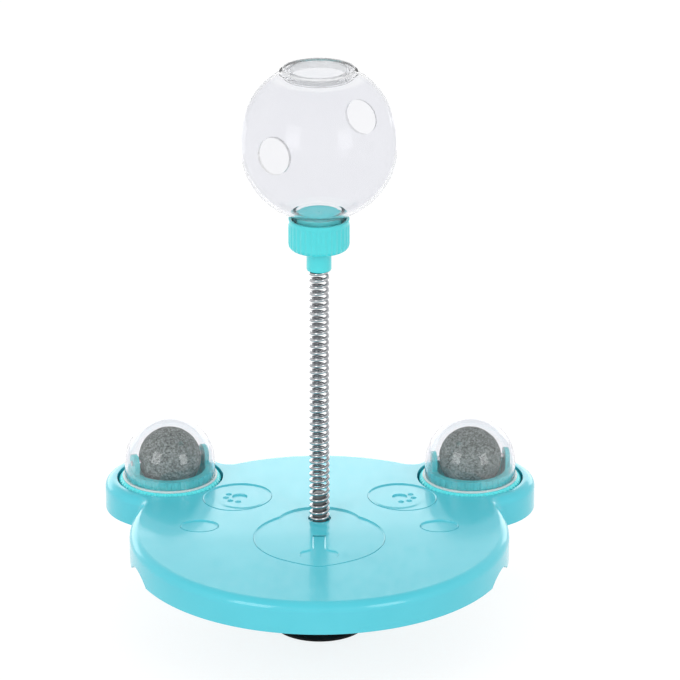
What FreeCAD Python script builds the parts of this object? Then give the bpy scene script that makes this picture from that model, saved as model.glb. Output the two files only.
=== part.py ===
import FreeCAD, Part

import math
import os
import re

import Sketcher
from FreeCAD import Placement, Rotation, Vector

# Suction cup treat ball, in millimetres.
# The origin is the centre of the suction cup's foot, on the mast axis. +Z is up, -Y is the front.

# Driving sizes: alias, value, what it is. Angles are in degrees, heights are above the floor.
SIZES = [
    # Base plate
    ("plate_radius", 96.0, "round plate, outer radius"),
    ("plate_forward", 11.5, "plate centre in front of the mast axis"),
    ("plate_top", 59.0, "height of the plate's flat top"),
    ("plate_depth", 16.0, "height of the skirt, top to lower edge"),
    ("plate_wall", 2.3, "wall of the plate and skirt"),
    ("edge_round", 4.8, "rounding of the upper outer edge"),
    ("inner_bevel", 1.8, "bevel between the plate and the skirt, inside"),
    ("ear_side", 78.0, "ear centre beside the mast axis"),
    ("ear_behind", 53.0, "ear centre behind the mast axis"),
    ("ear_rim", 6.2, "width of the ear outside its socket"),
    ("ear_blend", 6.0, "rounding of the corner between ear and plate"),
    ("socket_depth", 9.2, "ear socket, depth below the top"),
    ("socket_floor", 2.4, "ear socket, floor thickness"),
    ("socket_wall", 2.0, "ear socket, wall of the tube"),
    ("rib_wall", 1.6, "stiffening ribs, thickness"),
    ("rib_height", 8.2, "stiffening ribs, height under the plate"),
    ("rib_root", 1.0, "stiffening ribs, length inside the boss"),
    ("front_rib_angle", 45.0, "slanted front ribs, turned from the centre rib"),
    ("notch_width", 27.0, "finger notch, width along the skirt's edge"),
    ("notch_rise", 5.0, "finger notch, height of the arch"),
    ("notch_angle", 18.0, "finger notch, turned to the front from the side"),
    # Relief in the plate's top
    ("muzzle_radius", 33.0, "muzzle recess, radius"),
    ("muzzle_forward", 26.5, "muzzle recess, centre in front of the mast axis"),
    ("muzzle_sink", 0.6, "muzzle recess, depth"),
    ("nose_half_width", 21.0, "nose recess, half width"),
    ("nose_half_length", 18.2, "nose recess, half length"),
    ("nose_forward", 5.8, "nose recess, centre in front of the mast axis"),
    ("nose_sink", 0.95, "nose recess, depth"),
    ("lip_half_width", 3.4, "groove under the nose, half width"),
    ("lip_root", 1.5, "groove under the nose, length inside the nose recess"),
    ("lip_forward", 37.0, "where the groove starts to flare"),
    ("mouth_half_width", 13.5, "flared end of the groove, half width"),
    ("mouth_forward", 51.5, "flared end of the groove, in front of the mast axis"),
    ("mouth_sink", 0.9, "groove under the nose, depth below the top"),
    ("eye_side", 42.2, "eye recess, centre beside the mast axis"),
    ("eye_behind", 26.2, "eye recess, centre behind the mast axis"),
    ("eye_half_length", 19.5, "eye recess, half length"),
    ("eye_half_width", 15.0, "eye recess, half width"),
    ("eye_slant", 45.0, "eye recess, slant of its long axis"),
    ("eye_sink", 0.8, "eye recess, depth"),
    ("disc_side", 39.9, "raised eye disc, centre beside the mast axis"),
    ("disc_behind", 25.6, "raised eye disc, centre behind the mast axis"),
    ("disc_radius", 12.6, "raised eye disc, radius"),
    ("cheek_side", 60.6, "cheek recess, centre beside the mast axis"),
    ("cheek_forward", 12.2, "cheek recess, centre in front of the mast axis"),
    ("cheek_half_width", 9.7, "cheek recess, half width"),
    ("cheek_half_length", 7.5, "cheek recess, half length"),
    ("cheek_sink", 0.5, "cheek recess, depth"),
    # Suction cup and the boss that holds it
    ("boss_radius", 14.0, "cup boss, outer radius"),
    ("boss_low", 24.0, "cup boss, height of its lower end"),
    ("boss_bore", 8.0, "cup boss, bore radius"),
    ("boss_web", 3.55, "wall between the cup boss's bore and the spring seat"),
    ("bead_rise", 2.0, "snap bead in the boss, height"),
    ("bead_depth", 0.8, "snap bead in the boss, depth of the bead"),
    ("bead_lead", 1.0, "snap bead in the boss, width of its lead-in"),
    ("cup_radius", 24.0, "suction cup, radius of the lip"),
    ("cup_lip", 1.1, "suction cup, thickness of the lip's edge"),
    ("cup_land", 1.2, "suction cup, width of the ring that meets the floor"),
    ("cup_hollow", 6.0, "suction cup, depth of the hollow underneath"),
    ("cup_waist", 10.5, "suction cup, radius of the post"),
    ("cup_waist_low", 11.0, "suction cup, height where the bell meets the post"),
    ("cup_head_height", 7.0, "suction cup, height of the snap head"),
    ("cup_head_taper", 2.0, "suction cup, width of the snap head's taper"),
    ("cup_head_lead", 3.0, "suction cup, height of the snap head's taper"),
    # Mast spring with its plugs, washers and screws
    ("spring_radius", 5.2, "mast spring, outer radius"),
    ("wire_radius", 0.75, "mast spring, wire radius"),
    ("end_pitch", 2.2, "mast spring, pitch of the first and the last turn"),
    ("mast_length", 135.85, "length from the spring seat to the collar stem"),
    ("spring_seat_sink", 1.5, "spring seat in the plate, depth below the nose"),
    ("lower_plug_height", 15.4, "lower plug, height"),
    ("upper_plug_height", 11.0, "upper plug, height"),
    ("screw_radius", 1.5, "mast screws, shank radius"),
    ("plug_end_wall", 1.6, "spring plugs, closed end beyond the screw hole"),
    ("screw_head_radius", 3.0, "mast screws, head radius"),
    ("screw_head_height", 2.0, "mast screws, head height"),
    ("lower_washer_radius", 4.5, "lower washer, radius"),
    ("upper_washer_radius", 4.0, "upper washer, radius"),
    ("washer_height", 0.8, "mast washers, thickness"),
    # Collar
    ("stem_height", 11.0, "collar stem, height up to the collar"),
    ("stem_wall", 0.7, "collar stem, wall"),
    ("stem_bore_depth", 10.0, "collar stem, depth of the bore"),
    ("stem_bevel", 0.6, "collar stem, bevel of the lower edge"),
    ("collar_height", 16.0, "collar, height"),
    ("collar_floor", 2.6, "collar, floor thickness"),
    ("collar_wall", 1.6, "collar, wall"),
    ("collar_round", 3.0, "collar, rounding of the lower edge"),
    ("flute_count", 32, "collar, number of flutes"),
    ("flute_sink", 0.35, "collar, depth of a flute"),
    ("flute_radius", 1.3, "collar, radius of a flute's cutter"),
    ("flute_gap", 2.2, "collar, plain rim above the flutes"),
    ("locator_wall", 1.3, "locating ring, wall"),
    ("locator_height", 3.0, "locating ring, height"),
    ("hood_wall", 1.6, "collar cap, wall"),
    ("hood_height", 16.0, "collar cap, height"),
    ("hood_bevel", 0.8, "collar cap, bevel of the upper edge"),
    ("gate_radius", 1.0, "collar cap, moulding mark, radius"),
    # Treat ball and its cap
    ("ball_radius", 40.0, "treat ball, outer radius"),
    ("ball_wall", 1.8, "treat ball, wall"),
    ("neck_radius", 13.3, "treat ball, outer radius of the neck"),
    ("leak_radius", 9.2, "treat ball, radius of a treat hole"),
    ("leak_rise", 2.5, "treat ball, treat holes above its centre"),
    ("leak_turn", 34.1, "treat ball, direction of the front treat hole, left of the front"),
    ("rim_height", 0.675, "treat ball, height of the flat rim above the round wall"),
    ("rim_radius", 19.5, "treat ball, radius of the flat rim for the cap"),
    ("rim_land", 3.9, "treat ball, width of the flat rim"),
    ("fill_lip_wall", 1.4, "treat ball, wall of the lip round the fill opening"),
    ("fill_lip_depth", 3.6, "treat ball, depth of the lip round the fill opening"),
    ("cap_inset", 1.7, "fill cap, flange inside the edge of the rim"),
    ("cap_height", 1.5, "fill cap, thickness"),
    ("cap_skirt_depth", 3.4, "fill cap, depth of the skirt"),
    ("cap_skirt_wall", 1.4, "fill cap, wall of the skirt"),
    # Catnip ball stations
    ("left_yaw", 22.6, "left holder, turned from the side-to-side line"),
    ("right_yaw", 8.9, "right holder, turned from the side-to-side line"),
    ("grip_height", 9.2, "holder, height of the ribbed ring"),
    ("grip_count", 60, "holder, number of grooves between the ribs"),
    ("grip_sink", 0.55, "holder, depth of a groove"),
    ("grip_groove", 1.5, "holder, width of a groove's cutter"),
    ("shoulder_rim", 1.8, "holder, width of the shoulder outside the dome"),
    ("holder_floor", 2.0, "holder, floor thickness"),
    ("seat_wall", 3.6, "holder, wall of the ring that centres the dome"),
    ("seat_height", 5.0, "holder, height of the ring that centres the dome"),
    ("core_wall", 2.0, "holder, walls left by the hollow underneath"),
    ("hub_radius", 3.2, "holder, radius of the pivot hub"),
    ("lug_wall", 2.5, "holder lugs, thickness"),
    ("lug_width", 9.0, "holder lugs, width"),
    ("catnip_radius", 16.3, "catnip ball, radius"),
    ("axle_radius", 1.5, "catnip axle, radius"),
    ("axle_overhang", 0.6, "catnip axle, length outside a lug"),
    ("axle_bevel", 0.3, "catnip axle, bevel of its ends"),
    ("dome_wall", 1.2, "dome, wall"),
    ("dome_drop", 2.0, "dome, start of its round top below the axle"),
    ("dome_lip", 1.1, "dome, width of the lip"),
    ("dome_lip_height", 1.0, "dome, thickness of the lip"),
    ("pivot_washer_radius", 5.5, "pivot washer, radius"),
    ("pivot_washer_height", 0.9, "pivot washer, thickness"),
    ("pivot_screw_radius", 1.15, "pivot screw, shank radius"),
    ("pivot_screw_reach", 4.0, "pivot screw, length in the hub"),
    ("pivot_screw_head_radius", 2.9, "pivot screw, head radius"),
    ("pivot_screw_head_height", 2.0, "pivot screw, head height"),
    # Clearances
    ("seat_gap", 0.3, "play between pieces that slip together"),
    ("running_fit", 0.05, "play of a shaft in its bore, on the radius"),
    ("holder_play", 1.1, "play of the holder in its socket, on the radius"),
    ("catnip_play", 2.1, "play between the catnip ball and the tray's wall"),
    ("catnip_lift", 0.9, "play between the catnip ball and the tray's floor"),
    ("lug_play", 1.5, "play between the catnip ball and a lug"),
    ("cup_play", 0.5, "play between the suction cup's neck and the snap bead"),
    ("cup_head_play", 0.2, "play between the suction cup's head and the boss"),
    ("coil_play", 0.5, "play of the spring in its seat, on the radius"),
    ("stem_play", 0.35, "play of the spring in the collar stem, on the radius"),
    ("plug_play", 0.35, "play of a plug in the spring, on the radius"),
    ("neck_play", 0.35, "play of the ball's neck in the collar, on the radius"),
    ("hood_gap", 0.4, "play between the collar cap and the ball's neck"),
    ("hood_play", 0.2, "play between the collar cap and its locating ring"),
    ("cutter_reach", 0.2, "length of a cutter beyond what it cuts"),
    ("screw_chamfer", 0.5, "chamfer on screws and plugs"),
    ("recess_width", 0.9, "width of the slots in a screw head"),
    ("recess_depth", 1.1, "depth of the slots in a screw head"),
    ("recess_rim", 1.0, "width of the screw head outside the slots"),
]

# Sizes that follow from others: name and sheet expression.
FOLLOWERS = {
    "tray_radius": "catnip_radius + catnip_play",
    "lug_inner": "catnip_radius + lug_play",
    "seat_radius": "tray_radius + seat_wall",
    "dome_radius": "seat_radius + seat_gap + dome_wall",
    "grip_radius": "dome_radius + dome_lip + shoulder_rim",
    "socket_radius": "grip_radius + holder_play",
    "ear_radius": "socket_radius + ear_rim",
    "axle_height": "plate_top - socket_depth + seat_gap + holder_floor + catnip_lift + catnip_radius",
    "rib_low": "plate_top - plate_wall - rib_height",
    "boss_floor": "plate_top - nose_sink - spring_seat_sink - boss_web",
    "bead_throat": "boss_bore - bead_depth",
    "cup_neck": "bead_throat - cup_play",
    "cup_head": "boss_bore - cup_head_play",
    "spring_seat_radius": "spring_radius + coil_play",
    "plug_radius": "spring_radius - 2 * wire_radius - plug_play",
    "stem_bore": "spring_radius + stem_play",
    "stem_radius": "stem_bore + stem_wall",
    "stem_low": "plate_top - nose_sink - spring_seat_sink + mast_length",
    "collar_radius": "neck_radius + neck_play + collar_wall",
    "hood_radius": "neck_radius - ball_wall - hood_gap",
    "locator_radius": "hood_radius - hood_wall - hood_play",
    "ball_centre": "stem_low + stem_height + collar_height + ball_radius",
    "fill_radius": "rim_radius - rim_land",
    "cap_radius": "rim_radius - cap_inset",
}

# Heights and radii that follow from the sizes, as sheet expressions.
SKIRT_LOW = "(plate_top - plate_depth)"
PLATE_UNDER = "(plate_top - plate_wall)"
SOCKET_TOP = "(plate_top - socket_depth)"
SOCKET_UNDER = "(plate_top - socket_depth - socket_floor)"
SPRING_SEAT = "(plate_top - nose_sink - spring_seat_sink)"
STEM_CEILING = "(stem_low + stem_bore_depth)"
COLLAR_LOW = "(stem_low + stem_height)"
COLLAR_INSIDE = "(stem_low + stem_height + collar_floor)"
COLLAR_TOP = "(stem_low + stem_height + collar_height)"
CUP_INSIDE = "(collar_radius - collar_wall)"
NECK_LOW = f"({COLLAR_INSIDE} + seat_gap)"
NECK_BORE = "(neck_radius - ball_wall)"
BALL_INSIDE = "(ball_radius - ball_wall)"
RIM_TOP = "(ball_centre + sqrt(ball_radius ^ 2 - rim_radius ^ 2) + rim_height)"
HOLDER_LOW = f"({SOCKET_TOP} + seat_gap)"
SHOULDER = f"({HOLDER_LOW} + grip_height)"
TRAY_FLOOR = f"({HOLDER_LOW} + holder_floor)"
HUB_LOW = f"({SOCKET_UNDER} - seat_gap)"
SHANK_BORE = "(screw_radius + running_fit)"
SCREW_HOLE = "(screw_radius + seat_gap)"
AXLE_BORE = "(axle_radius + running_fit)"

# Count of the spring's turns, and of the flat sides that stand for its round wire.
SPRING_TURNS = 42
WIRE_SIDES = 4

document = FreeCAD.newDocument("suction_cup_treat_ball")
sheet = document.addObject("Spreadsheet::Sheet", "Sizes")
pieces = []


def fill_sheet():
    """Put each driving size into the sheet under its alias."""
    for row, (alias, number, note) in enumerate(SIZES, start=1):
        sheet.set(f"A{row}", note)
        sheet.set(f"B{row}", str(number))
        sheet.setAlias(f"B{row}", alias)
    document.recompute()


def bound(text):
    """The expression with each follower written out and the sheet's name before each alias."""
    aliases = {alias for alias, _, _ in SIZES}

    def written_out(word):
        """A follower's own expression, an alias with the sheet's name, or the word itself."""
        name = word[0]
        if name in FOLLOWERS:
            return f"({bound(FOLLOWERS[name])})"
        return f"Sizes.{name}" if name in aliases else name

    return re.sub(r"[a-z]\w*", written_out, str(text))


def size(text):
    """The number that an expression of the sheet stands for."""
    result = sheet.evalExpression(bound(text))
    return float(getattr(result, "Value", result))


def polar(radius, across, angle):
    """A point at a radius along an angle, and a distance across that line, as two expressions."""
    return (
        f"(({radius}) * cos({angle}) - ({across}) * sin({angle}))",
        f"(({radius}) * sin({angle}) + ({across}) * cos({angle}))",
    )


# Sketches

HORIZONTAL = -1
VERTICAL = -2
START = 1
END = 2
CENTRE = 3


def new_body(label):
    """A body that is one of the object's pieces."""
    body = document.addObject("PartDesign::Body", label)
    body.Label = label
    pieces.append(body)
    return body


def origin_plane(body, role):
    """One of the body's own origin planes or axes."""
    return next(item for item in body.Origin.OriginFeatures if item.Role == role)


def new_sketch(body, name, plane="XY_Plane", offset="0"):
    """A sketch on one of the body's origin planes, or parallel to it at an offset."""
    sketch = body.newObject("Sketcher::SketchObject", name)
    sketch.AttachmentSupport = (origin_plane(body, plane), [""])
    sketch.MapMode = "FlatFace"
    if offset != "0":
        sketch.setExpression("AttachmentOffset.Base.z", bound(offset))
    return sketch


def swing(sketch, angle):
    """Turn an upright sketch round the vertical axis."""
    sketch.AttachmentOffset = Placement(Vector(0, 0, 0), Rotation(Vector(0, 1, 0), 1))
    sketch.setExpression("AttachmentOffset.Rotation.Angle", bound(angle))


def measure(sketch, kind, first, second, text):
    """Bind the distance from one vertex to another, along one direction, to an expression."""
    distance = size(text)
    ends = first + second if distance > 0 else second + first
    number = sketch.addConstraint(Sketcher.Constraint(kind, *ends, abs(distance)))
    sketch.setExpression(f"Constraints[{number}]", bound(text if distance > 0 else f"-({text})"))


def pin(sketch, geometry, vertex, across, along):
    """Hold a vertex of the sketch at a place given by two expressions."""
    for kind, axis, text in (("DistanceX", VERTICAL, across), ("DistanceY", HORIZONTAL, along)):
        if abs(size(text)) < 1e-9:
            sketch.addConstraint(Sketcher.Constraint("PointOnObject", geometry, vertex, axis))
        else:
            measure(sketch, kind, (HORIZONTAL, START), (geometry, vertex), text)


def add_circle(sketch, across, along, radius):
    """A circle with its centre and radius bound to the sheet."""
    centre = Vector(size(across), size(along), 0)
    circle = sketch.addGeometry(Part.Circle(centre, Vector(0, 0, 1), size(radius)), False)
    pin(sketch, circle, CENTRE, across, along)
    number = sketch.addConstraint(Sketcher.Constraint("Radius", circle, size(radius)))
    sketch.setExpression(f"Constraints[{number}]", bound(radius))


def add_oval(sketch, across, along, half_long, half_short, slant):
    """An ellipse with its centre, half axes and slant bound to the sheet."""
    centre = Vector(size(across), size(along), 0)
    turn = math.radians(size(slant))
    far = centre + Vector(math.cos(turn), math.sin(turn), 0) * size(half_long)
    near = centre + Vector(-math.sin(turn), math.cos(turn), 0) * size(half_short)
    oval = sketch.addGeometry(Part.Ellipse(far, near, centre), False)
    sketch.exposeInternalGeometry(oval)
    pin(sketch, oval, CENTRE, across, along)
    for line, half in ((oval + 1, half_long), (oval + 2, half_short)):
        number = sketch.addConstraint(Sketcher.Constraint("Distance", line, 2 * size(half)))
        sketch.setExpression(f"Constraints[{number}]", bound(f"2 * ({half})"))
    number = sketch.addConstraint(
        Sketcher.Constraint("Angle", HORIZONTAL, START, oval + 1, START, turn)
    )
    sketch.setExpression(f"Constraints[{number}]", bound(slant))


def curve(start, end, radius, side):
    """An arc between two points, with its centre to the left or right of the way between them."""
    middle = (start + end) * 0.5
    way = end - start
    left = Vector(-way.y, way.x, 0)
    left.normalize()
    rise = math.sqrt(max(radius**2 - (way.Length / 2) ** 2, 0.0))
    centre = middle + left * (rise if side == "left" else -rise)
    first, last = (start, end) if side == "left" else (end, start)
    angles = [math.atan2(point.y - centre.y, point.x - centre.x) for point in (first, last)]
    circle = Part.Circle(centre, Vector(0, 0, 1), radius)
    return Part.ArcOfCircle(circle, angles[0], angles[1])


def add_outline(sketch, points):
    """A closed outline through the points.

    A point is its two coordinates. An arc that ends there adds its radius and the side of the way
    on which its centre lies.
    """
    places = [Vector(size(point[0]), size(point[1]), 0) for point in points]
    ends = []
    for index, point in enumerate(points):
        start = places[index - 1]
        end = places[index]
        if len(point) == 2:
            number = sketch.addGeometry(Part.LineSegment(start, end), False)
            ends.append((number, START, END))
            continue
        radius, side = point[2:]
        number = sketch.addGeometry(curve(start, end, size(radius), side), False)
        ends.append((number, START, END) if side == "left" else (number, END, START))
    for index, point in enumerate(points):
        number, _, last = ends[index]
        following, first, _ = ends[(index + 1) % len(points)]
        sketch.addConstraint(Sketcher.Constraint("Coincident", number, last, following, first))
        pin(sketch, number, last, point[0], point[1])
    for (number, _, _), point in zip(ends, points):
        if len(point) > 2:
            place = sketch.addConstraint(Sketcher.Constraint("Radius", number, size(point[2])))
            sketch.setExpression(f"Constraints[{place}]", bound(point[2]))


# Features

def pad(body, name, sketch, length):
    """Raise the sketch along its normal."""
    feature = body.newObject("PartDesign::Pad", name)
    feature.Profile = sketch
    feature.setExpression("Length", bound(length))
    document.recompute()
    return feature


def cut(body, name, sketch, length, upward=False, both_ways=False):
    """Cut the sketch into the body, down from its plane unless said otherwise."""
    before = body.Tip.Shape.Volume
    feature = body.newObject("PartDesign::Pocket", name)
    feature.Profile = sketch
    feature.Reversed = upward
    feature.Midplane = both_ways
    feature.setExpression("Length", bound(length))
    document.recompute()
    must_shrink(feature, before)
    return feature


def must_shrink(feature, before):
    """Stop when a cut took nothing away."""
    if feature.Shape.isNull() or feature.Shape.Volume > before - 1e-3:
        raise ValueError(f"{feature.Label} cuts nothing")


def turned(body, name, sketch):
    """Turn a sketch on the XZ plane round the vertical axis."""
    feature = body.newObject("PartDesign::Revolution", name)
    feature.Profile = sketch
    feature.ReferenceAxis = (sketch, ["V_Axis"])
    feature.Angle = 360
    document.recompute()
    return feature


def turned_profile(body, name, points):
    """A turned solid from a half section, given as radius and height."""
    sketch = new_sketch(body, f"{name}_section", "XZ_Plane")
    add_outline(sketch, points)
    return turned(body, name, sketch)


def groove(body, name, points):
    """Cut a turned groove from a half section, given as radius and height."""
    before = body.Tip.Shape.Volume
    sketch = new_sketch(body, f"{name}_section", "XZ_Plane")
    add_outline(sketch, points)
    feature = body.newObject("PartDesign::Groove", name)
    feature.Profile = sketch
    feature.ReferenceAxis = (sketch, ["V_Axis"])
    feature.Angle = 360
    document.recompute()
    must_shrink(feature, before)
    return feature


def around(body, name, feature, count):
    """Repeat a feature evenly round the vertical axis."""
    pattern = body.newObject("PartDesign::PolarPattern", name)
    pattern.Originals = [feature]
    pattern.Axis = (origin_plane(body, "Z_Axis"), [""])
    pattern.Angle = 360
    pattern.setExpression("Occurrences", bound(count))
    body.Tip = pattern
    document.recompute()
    return pattern


def dressed(body, kind, name, test, amount, text):
    """Round or bevel the edges of the body's tip that pass a test."""
    tip = body.Tip
    names = [f"Edge{number}" for number, edge in enumerate(tip.Shape.Edges, start=1) if test(edge)]
    if not names:
        raise ValueError(f"{name} finds no edge")
    feature = body.newObject(kind, name)
    feature.Base = (tip, names)
    feature.setExpression(amount, bound(text))
    document.recompute()
    return feature


def rounded(body, name, test, radius):
    """Round the edges that pass a test."""
    return dressed(body, "PartDesign::Fillet", name, test, "Radius", radius)


def bevelled(body, name, test, width):
    """Bevel the edges that pass a test."""
    return dressed(body, "PartDesign::Chamfer", name, test, "Size", width)


def near(first, second):
    """Whether two heights or radii are the same within a hundredth of a millimetre."""
    return abs(first - second) < 0.01


def flat_at(height):
    """A test for edges that lie level at a height."""
    return lambda edge: near(edge.BoundBox.ZMin, height) and near(edge.BoundBox.ZMax, height)


def circle_at(height, radius):
    """A test for a level round edge of a radius."""
    level = flat_at(height)
    return lambda edge: (
        level(edge) and isinstance(edge.Curve, Part.Circle) and near(edge.Curve.Radius, radius)
    )


# Base plate

def ear_circles(body, name, radius, height):
    """A sketch with the same circle on both ears."""
    sketch = new_sketch(body, name, offset=height)
    for side in (-1, 1):
        add_circle(sketch, f"{side} * ear_side", "ear_behind", radius)
    return sketch


def plate_shell(body):
    """The dished plate with its two ears, open underneath."""
    disc = new_sketch(body, "disc_outline", offset=SKIRT_LOW)
    add_circle(disc, "0", "-plate_forward", "plate_radius")
    pad(body, "disc", disc, "plate_depth")
    ears = ear_circles(body, "ear_outlines", "ear_radius", SKIRT_LOW)
    pad(body, "ears", ears, "plate_depth")
    depth = size("plate_depth")
    rounded(
        body,
        "ear_corners",
        lambda edge: isinstance(edge.Curve, Part.Line) and near(edge.BoundBox.ZLength, depth),
        "ear_blend",
    )
    tip = body.Tip
    low = size(SKIRT_LOW)
    openings = [
        f"Face{number}"
        for number, face in enumerate(tip.Shape.Faces, start=1)
        if near(face.BoundBox.ZMin, low) and near(face.BoundBox.ZMax, low)
    ]
    shell = body.newObject("PartDesign::Thickness", "shell")
    shell.Base = (tip, openings)
    shell.Reversed = True
    shell.setExpression("Value", bound("plate_wall"))
    document.recompute()
    must_shrink(shell, tip.Shape.Volume)
    rounded(body, "upper_edge", flat_at(size("plate_top")), "edge_round")
    bevelled(body, "inner_edge", flat_at(size(PLATE_UNDER)), "inner_bevel")


def ear_sockets(body):
    """The open sockets in the ears, with a floor and a pivot hole."""
    tubes = ear_circles(body, "socket_tubes", "socket_radius + socket_wall", SKIRT_LOW)
    pad(body, "socket_walls", tubes, "plate_depth - plate_wall / 2")
    bores = ear_circles(body, "socket_bores", "socket_radius", "plate_top")
    cut(body, "sockets", bores, "socket_depth")
    cores = ear_circles(body, "socket_cores", "socket_radius", SKIRT_LOW)
    cut(body, "under_sockets", cores, f"{SOCKET_UNDER} - {SKIRT_LOW}", upward=True)
    holes = ear_circles(body, "pivot_holes", "hub_radius + running_fit", SOCKET_TOP)
    cut(body, "pivots", holes, "2 * socket_floor")


def rib_outline(sketch, angle, reach):
    """The plan of one rib from the boss outwards."""
    half = "rib_wall / 2"
    root = "boss_radius - rib_root"
    add_outline(
        sketch,
        [
            polar(root, f"-{half}", angle),
            polar(reach, f"-{half}", angle),
            polar(reach, half, angle),
            polar(root, half, angle),
        ],
    )


def stiffening_ribs(body):
    """Ribs under the plate from the boss to the skirt and to the ear sockets."""
    sketch = new_sketch(body, "rib_plans", offset="rib_low")
    middle = "(plate_radius - plate_wall / 2)"
    for angle in ("-90", "-90 + front_rib_angle", "-90 - front_rib_angle", "90"):
        lean = f"plate_forward * sin({angle})"
        swing = f"plate_forward * cos({angle})"
        rib_outline(sketch, angle, f"sqrt({middle} ^ 2 - ({swing}) ^ 2) - {lean}")
    towards_ear = "atan2(ear_behind; ear_side)"
    reach = "hypot(ear_side; ear_behind) - socket_radius - socket_wall / 2"
    for angle in (towards_ear, f"180 deg - {towards_ear}"):
        rib_outline(sketch, angle, reach)
    pad(body, "ribs", sketch, f"{PLATE_UNDER} - rib_low + plate_wall / 2")


def cup_boss(body):
    """The tube under the plate that holds the suction cup, with its snap bead and screw hole."""
    tube = new_sketch(body, "boss_outline", offset="boss_low")
    add_circle(tube, "0", "0", "boss_radius")
    pad(body, "boss", tube, f"{PLATE_UNDER} - boss_low + plate_wall / 2")
    groove(
        body,
        "boss_bore_cut",
        [
            ("0", "boss_low - bead_lead"),
            ("bead_throat + bead_lead", "boss_low - bead_lead"),
            ("bead_throat", "boss_low + bead_rise / 2"),
            ("boss_bore", "boss_low + bead_rise"),
            ("boss_bore", "boss_floor"),
            ("0", "boss_floor"),
        ],
    )
    seat = new_sketch(body, "spring_seat_outline", offset="plate_top")
    add_circle(seat, "0", "0", "spring_seat_radius")
    cut(body, "spring_seat", seat, f"plate_top - {SPRING_SEAT}")
    hole = new_sketch(body, "screw_hole_outline", offset=SPRING_SEAT)
    add_circle(hole, "0", "0", SCREW_HOLE)
    cut(body, "screw_hole", hole, f"{SPRING_SEAT} - boss_floor + cutter_reach")


def finger_notches(body):
    """The arches in the skirt's lower edge, one at each side."""
    radius = "((notch_width / 2) ^ 2 + notch_rise ^ 2) / (2 * notch_rise)"
    for name, side in (("left", -1), ("right", 1)):
        sketch = new_sketch(body, f"{name}_notch_outline", "YZ_Plane")
        swing(sketch, f"{-side} * notch_angle")
        sketch.setExpression("AttachmentOffset.Base.x", bound("-plate_forward"))
        add_circle(sketch, "0", f"{SKIRT_LOW} + notch_rise - {radius}", radius)
        cut(body, f"{name}_notch", sketch, "2 * plate_radius", upward=side > 0)


def face_relief(body):
    """Muzzle, nose, mouth, cheeks and eyes, as shallow recesses in the plate's top."""
    muzzle = new_sketch(body, "muzzle_outline", offset="plate_top")
    add_circle(muzzle, "0", "-muzzle_forward", "muzzle_radius")
    cut(body, "muzzle", muzzle, "muzzle_sink")
    nose = new_sketch(body, "nose_outline", offset="plate_top")
    add_oval(nose, "0", "-nose_forward", "nose_half_width", "nose_half_length", "0")
    cut(body, "nose", nose, "nose_sink")
    mouth = new_sketch(body, "mouth_outline", offset="plate_top")
    corner = "-nose_forward - nose_half_length + lip_root"
    add_outline(
        mouth,
        [
            ("-lip_half_width", corner),
            ("-lip_half_width", "-lip_forward"),
            ("-mouth_half_width", "-mouth_forward", "mouth_forward - lip_forward", "right"),
            ("mouth_half_width", "-mouth_forward", "muzzle_radius", "left"),
            ("lip_half_width", "-lip_forward", "mouth_forward - lip_forward", "right"),
            ("lip_half_width", corner),
        ],
    )
    cut(body, "mouth", mouth, "mouth_sink")
    cheeks = new_sketch(body, "cheek_outlines", offset="plate_top")
    eyes = new_sketch(body, "eye_outlines", offset="plate_top")
    for side, slant in ((-1, "90 + eye_slant"), (1, "eye_slant")):
        centre = (f"{side} * cheek_side", "-cheek_forward")
        add_oval(cheeks, *centre, "cheek_half_width", "cheek_half_length", "0")
        centre = (f"{side} * eye_side", "eye_behind")
        add_oval(eyes, *centre, "eye_half_length", "eye_half_width", slant)
        add_circle(eyes, f"{side} * disc_side", "disc_behind", "disc_radius")
    cut(body, "cheeks", cheeks, "cheek_sink")
    cut(body, "eyes", eyes, "eye_sink")


def base_plate():
    """The plate with ears, sockets, boss, ribs, notches and relief."""
    body = new_body("base_plate")
    plate_shell(body)
    ear_sockets(body)
    stiffening_ribs(body)
    cup_boss(body)
    finger_notches(body)
    face_relief(body)


def suction_cup():
    """The rubber cup: lip, hollow bell, post, neck and snap head."""
    body = new_body("suction_cup")
    post_top = "(boss_low - seat_gap)"
    head_low = "(boss_low + bead_rise + seat_gap)"
    head_top = f"({head_low} + cup_head_height)"
    hollow_radius = "(((cup_radius - cup_land) ^ 2 + cup_hollow ^ 2) / (2 * cup_hollow))"
    slope = "(cup_waist ^ 2 + cup_waist_low ^ 2 - cup_radius ^ 2 - cup_lip ^ 2)"
    bell_centre = f"({slope} / (2 * (cup_waist_low - cup_lip)))"
    bell_radius = f"sqrt(cup_radius ^ 2 + (cup_lip - {bell_centre}) ^ 2)"
    turned_profile(
        body,
        "cup",
        [
            ("0", "cup_hollow"),
            ("cup_radius - cup_land", "0", hollow_radius, "right"),
            ("cup_radius", "0"),
            ("cup_radius", "cup_lip"),
            ("cup_waist", "cup_waist_low", bell_radius, "left"),
            ("cup_waist", post_top),
            ("cup_neck", post_top),
            ("cup_neck", head_low),
            ("cup_head", head_low),
            ("cup_head", f"{head_top} - cup_head_lead"),
            ("cup_head - cup_head_taper", head_top),
            ("0", head_top),
        ],
    )


# Fasteners, plugs and washers

def ring_piece(label, outer, bore, low, height):
    """A flat ring, such as a washer."""
    body = new_body(label)
    sketch = new_sketch(body, "outline", offset=low)
    add_circle(sketch, "0", "0", outer)
    add_circle(sketch, "0", "0", bore)
    pad(body, "ring", sketch, height)
    return body


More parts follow.
